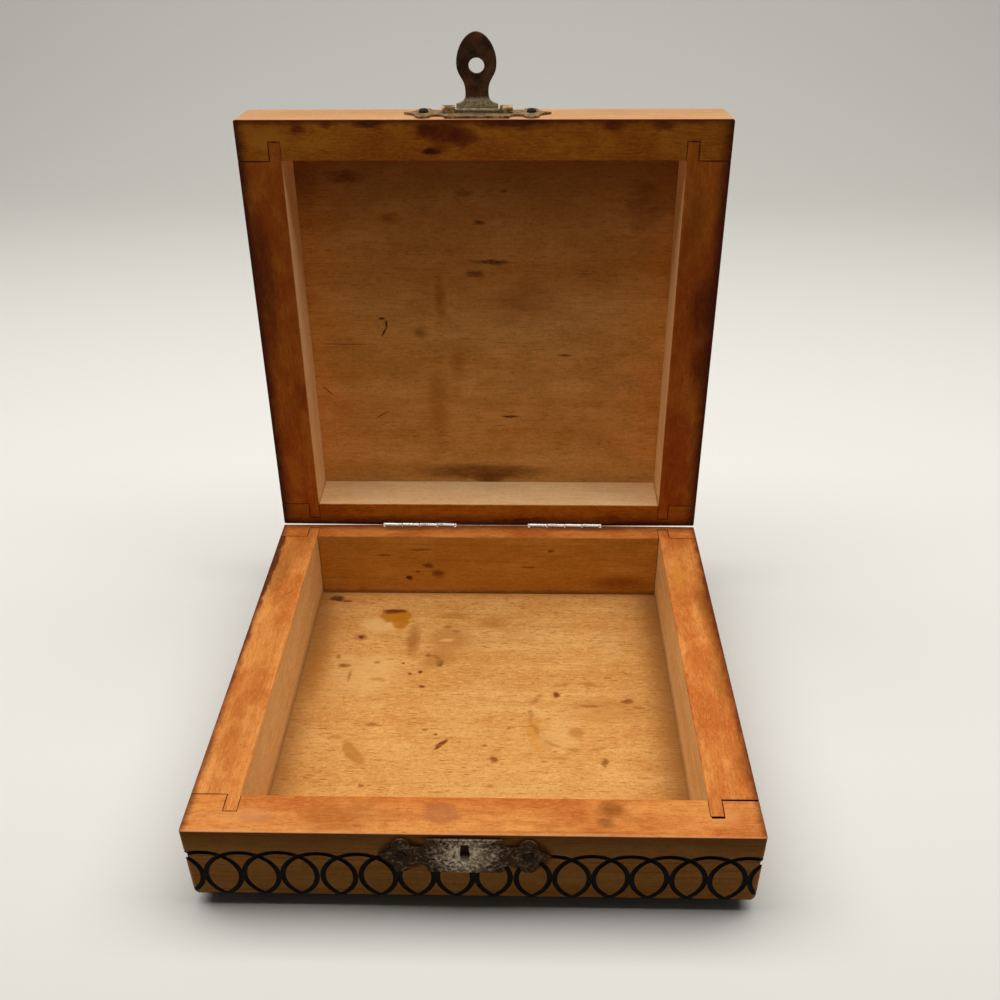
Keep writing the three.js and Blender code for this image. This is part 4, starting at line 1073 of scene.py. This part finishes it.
rails = {
    "lid_front_rail": (lid_rim_x, lid_inner_x, lid_outer_x, glue_and_underside_shade),
    "lid_back_rail": (lid_rim_x, lid_inner_x, lid_outer_x, glue_and_underside_shade),
    "lid_left_rail": (lid_rim_z, lid_inner_z, lid_outer_z, glue_and_underside_shade),
    "lid_right_rail": (lid_rim_z, lid_inner_z, lid_outer_z, glue_and_underside_shade),
}
for node, finishes in rails.items():
    rail = copy_of(node)
    paint_faces(rail, finishes, lid_face)
    if node == "lid_back_rail":
        square_edge(rail, lid_normal, lid_back)
    settle(rail, [node], "lid")

floor_panel = copy_of("base_bottom_panel")
paint_faces(floor_panel, (floor_face, floor_edge_painted_shade), floor_panel_face)
settle(floor_panel, ["base_bottom_panel"], "base")

lid_panel = copy_of("lid_top_panel")
paint_faces(lid_panel, (lid_panel_face, lid_panel_top, lid_panel_edge), lid_panel_side)
settle(lid_panel, ["lid_top_panel"], "lid")

# Fittings


def eased_sheet(node, finish, ease):
    """A copy of a sheet metal piece with its sharp edges broken."""
    piece = copy_of(node)
    piece.data.materials.append(finish)
    bevel = piece.modifiers.new("ease", "BEVEL")
    bevel.width = ease * MM
    bevel.segments = 2
    bevel.limit_method = "ANGLE"
    bevel.angle_limit = CREASE
    bevel.use_clamp_overlap = True
    bake_modifiers(piece)
    return piece


settle(eased_sheet("catch_plate", catch_finish, SHEET_EASE), ["catch_plate"], "base")
settle(eased_sheet("hasp_plate", hasp_plate_finish, SHEET_EASE), ["hasp_plate"], "lid")
settle(eased_sheet("hasp_tongue", tongue_finish, SHEET_EASE), ["hasp_tongue"], "hasp")
for side in LEFT_RIGHT:
    for part, body in (("base_leaf", "base"), ("lid_leaf", "lid"), ("pin", "base")):
        node = f"{side}_hinge_{part}"
        settle(eased_sheet(node, hinge_finish, LEAF_EASE), [node], body)


def nail_head():
    """One turned nail head of unit size, standing on the plane z = 0."""
    mesh = bpy.data.meshes.new("nail_head")
    work = bmesh.new()
    rim = [work.verts.new((radius, 0, height)) for radius, height in HEAD_OUTLINE]
    outline = [work.edges.new(pair) for pair in zip(rim, rim[1:])]
    bmesh.ops.spin(work, geom=rim + outline, cent=(0, 0, 0), axis=(0, 0, 1), angle=2 * math.pi,
                   steps=HEAD_SIDES)
    bmesh.ops.remove_doubles(work, verts=work.verts, dist=HEAD_WELD)
    bmesh.ops.recalc_face_normals(work, faces=work.faces)
    work.to_mesh(mesh)
    work.free()
    return new_object("nail_head", mesh)


def nail_places(nodes, outward, height):
    """A point for each nail, on the sheet under its head, with the way it faces and its size."""
    mesh = bpy.data.meshes.new("nail_places")
    points = []
    sizes = []
    for node in nodes:
        low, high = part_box(node)
        radius = (high.x - low.x) / 2
        middle = (low + high) / 2
        reach = abs((high - low).dot(outward)) / 2
        points.append(middle + outward * (reach - height * MM))
        sizes.append((radius, radius, height * MM))
    mesh.from_pydata(points, [], [])
    facing = mesh.attributes.new("facing", "FLOAT_VECTOR", "POINT")
    facing.data.foreach_set("vector", [value for _ in points for value in outward])
    size = mesh.attributes.new("size", "FLOAT_VECTOR", "POINT")
    size.data.foreach_set("vector", [value for triple in sizes for value in triple])
    return mesh


hinge_base_nails = [f"{side}_hinge_base_nail_{count}" for side in LEFT_RIGHT for count in (1, 2)]
hinge_lid_nails = [f"{side}_hinge_lid_nail_{count}" for side in LEFT_RIGHT for count in (1, 2)]
catch_nails = [f"catch_nail_{side}" for side in LEFT_RIGHT]
hasp_plate_nails = [f"hasp_plate_nail_{side}" for side in LEFT_RIGHT]
nail_sets = {
    "catch_nail_heads": ("base", catch_nails, Vector((0, -1, 0)), PLATE_NAIL_HEAD),
    "hinge_base_nail_heads": ("base", hinge_base_nails, Vector((0, 1, 0)), HINGE_NAIL_HEAD),
    "hasp_plate_nail_heads": ("lid", hasp_plate_nails, -lid_back, PLATE_NAIL_HEAD),
    "hinge_lid_nail_heads": ("lid", hinge_lid_nails, lid_back, HINGE_NAIL_HEAD),
}
head = nail_head()
heads_tree = nail_tree()
for name, (body, nodes, outward, height) in nail_sets.items():
    places = nail_places(nodes, outward, height)
    heads = grown(name, heads_tree, {"Head": head, "Finish": nail_finish}, places)
    settle(heads, nodes, body)

for spare in [head, *open_joint, *front_rings, *back_rings, *left_rings, *right_rings]:
    bpy.data.objects.remove(spare)

# Stage


def shown_or_felt(tree, shown, felt):
    """One colour for the camera and for reflections, and a duller one for the light that it throws back."""
    path = add(tree, "ShaderNodeLightPath").outputs
    seen = add(tree, "ShaderNodeMath", {0: path["Is Camera Ray"], 1: path["Is Glossy Ray"]},
               operation="MAXIMUM")
    seen = add(tree, "ShaderNodeMath", {0: seen, 1: path["Is Transmission Ray"]}, operation="MAXIMUM")
    return add(tree, "ShaderNodeMix", {0: seen, 6: linear(felt), 7: linear(shown)},
               data_type="RGBA").outputs[2]


def matt_white_paper():
    """Thick white paper, matt, with painted light making it paler where it rises behind the box."""
    material, tree, shader, place = new_material("matt_white_paper")
    height = add(tree, "ShaderNodeSeparateXYZ", {0: place}).outputs[2]
    painted_light = add(tree, "ShaderNodeMapRange", {0: height, 2: PAPER_LIFT})
    colour = shown_or_felt(tree, PAPER_SHOWN, PAPER_FELT)
    colour = add(tree, "ShaderNodeMix", {0: painted_light, 6: colour, 7: linear(PAPER_PAINTED_LIGHT)},
                 data_type="RGBA").outputs[2]
    fill(tree, shader, {"Base Color": colour, "Roughness": 0.9})
    return material


def paper_sweep():
    """A pale paper sweep: a flat floor that curves up into a backdrop."""
    mesh = bpy.data.meshes.new("paper_sweep")
    profile = [(FLOOR_FRONT, 0.0), (SWEEP_START, 0.0)]
    for step in range(1, SWEEP_STEPS + 1):
        angle = step / SWEEP_STEPS * math.pi / 2
        profile.append((SWEEP_START + SWEEP_RADIUS * math.sin(angle), SWEEP_RADIUS * (1 - math.cos(angle))))
    profile.append((SWEEP_START + SWEEP_RADIUS, BACKDROP_TOP))
    points = [(side * FLOOR_HALF_WIDTH * MM, y * MM, z * MM) for y, z in profile for side in (-1, 1)]
    faces = [(2 * i, 2 * i + 1, 2 * i + 3, 2 * i + 2) for i in range(len(profile) - 1)]
    mesh.from_pydata(points, [], faces)
    mesh.shade_smooth()
    mesh.materials.append(matt_white_paper())
    new_object("paper_sweep", mesh)


paper_sweep()

world = bpy.data.worlds.new("soft_room")
scene.world = world
world.use_nodes = True
world_tree = world.node_tree
world_tree.nodes.clear()
room = add(world_tree, "ShaderNodeBackground", {
    "Color": shown_or_felt(world_tree, ROOM_SHOWN, ROOM_FELT), "Strength": 1.0})
add(world_tree, "ShaderNodeOutputWorld", {0: room})

key = bpy.data.lights.new("overhead_softbox", "AREA")
key.energy = KEY_WATTS
key.shape = "RECTANGLE"
key.size = KEY_WIDTH * MM
key.size_y = KEY_DEPTH * MM
key_lamp = bpy.data.objects.new("overhead_softbox", key)
key_lamp.location = Vector(KEY_PLACE) * MM
collection.objects.link(key_lamp)

# Camera

right = Vector((math.cos(CAMERA_YAW), -math.sin(CAMERA_YAW), 0))
level = Vector((math.sin(CAMERA_YAW), math.cos(CAMERA_YAW), 0))
forward = level * math.cos(CAMERA_PITCH) - Vector((0, 0, math.sin(CAMERA_PITCH)))
up = level * math.sin(CAMERA_PITCH) + Vector((0, 0, math.cos(CAMERA_PITCH)))
rolled_right = right * math.cos(CAMERA_ROLL) - up * math.sin(CAMERA_ROLL)
rolled_up = right * math.sin(CAMERA_ROLL) + up * math.cos(CAMERA_ROLL)
lens = bpy.data.cameras.new("camera")
lens.sensor_fit = "HORIZONTAL"
lens.sensor_width = CAMERA_SENSOR
lens.lens = CAMERA_FOCAL
lens.clip_start = CAMERA_NEAR * MM
camera = bpy.data.objects.new("camera", lens)
turn = Matrix((rolled_right, rolled_up, -forward)).transposed()
camera.matrix_world = Matrix.Translation(Vector(CAMERA_PLACE) * MM) @ turn.to_4x4()
collection.objects.link(camera)
scene.camera = camera

scene.view_settings.view_transform = "Standard"
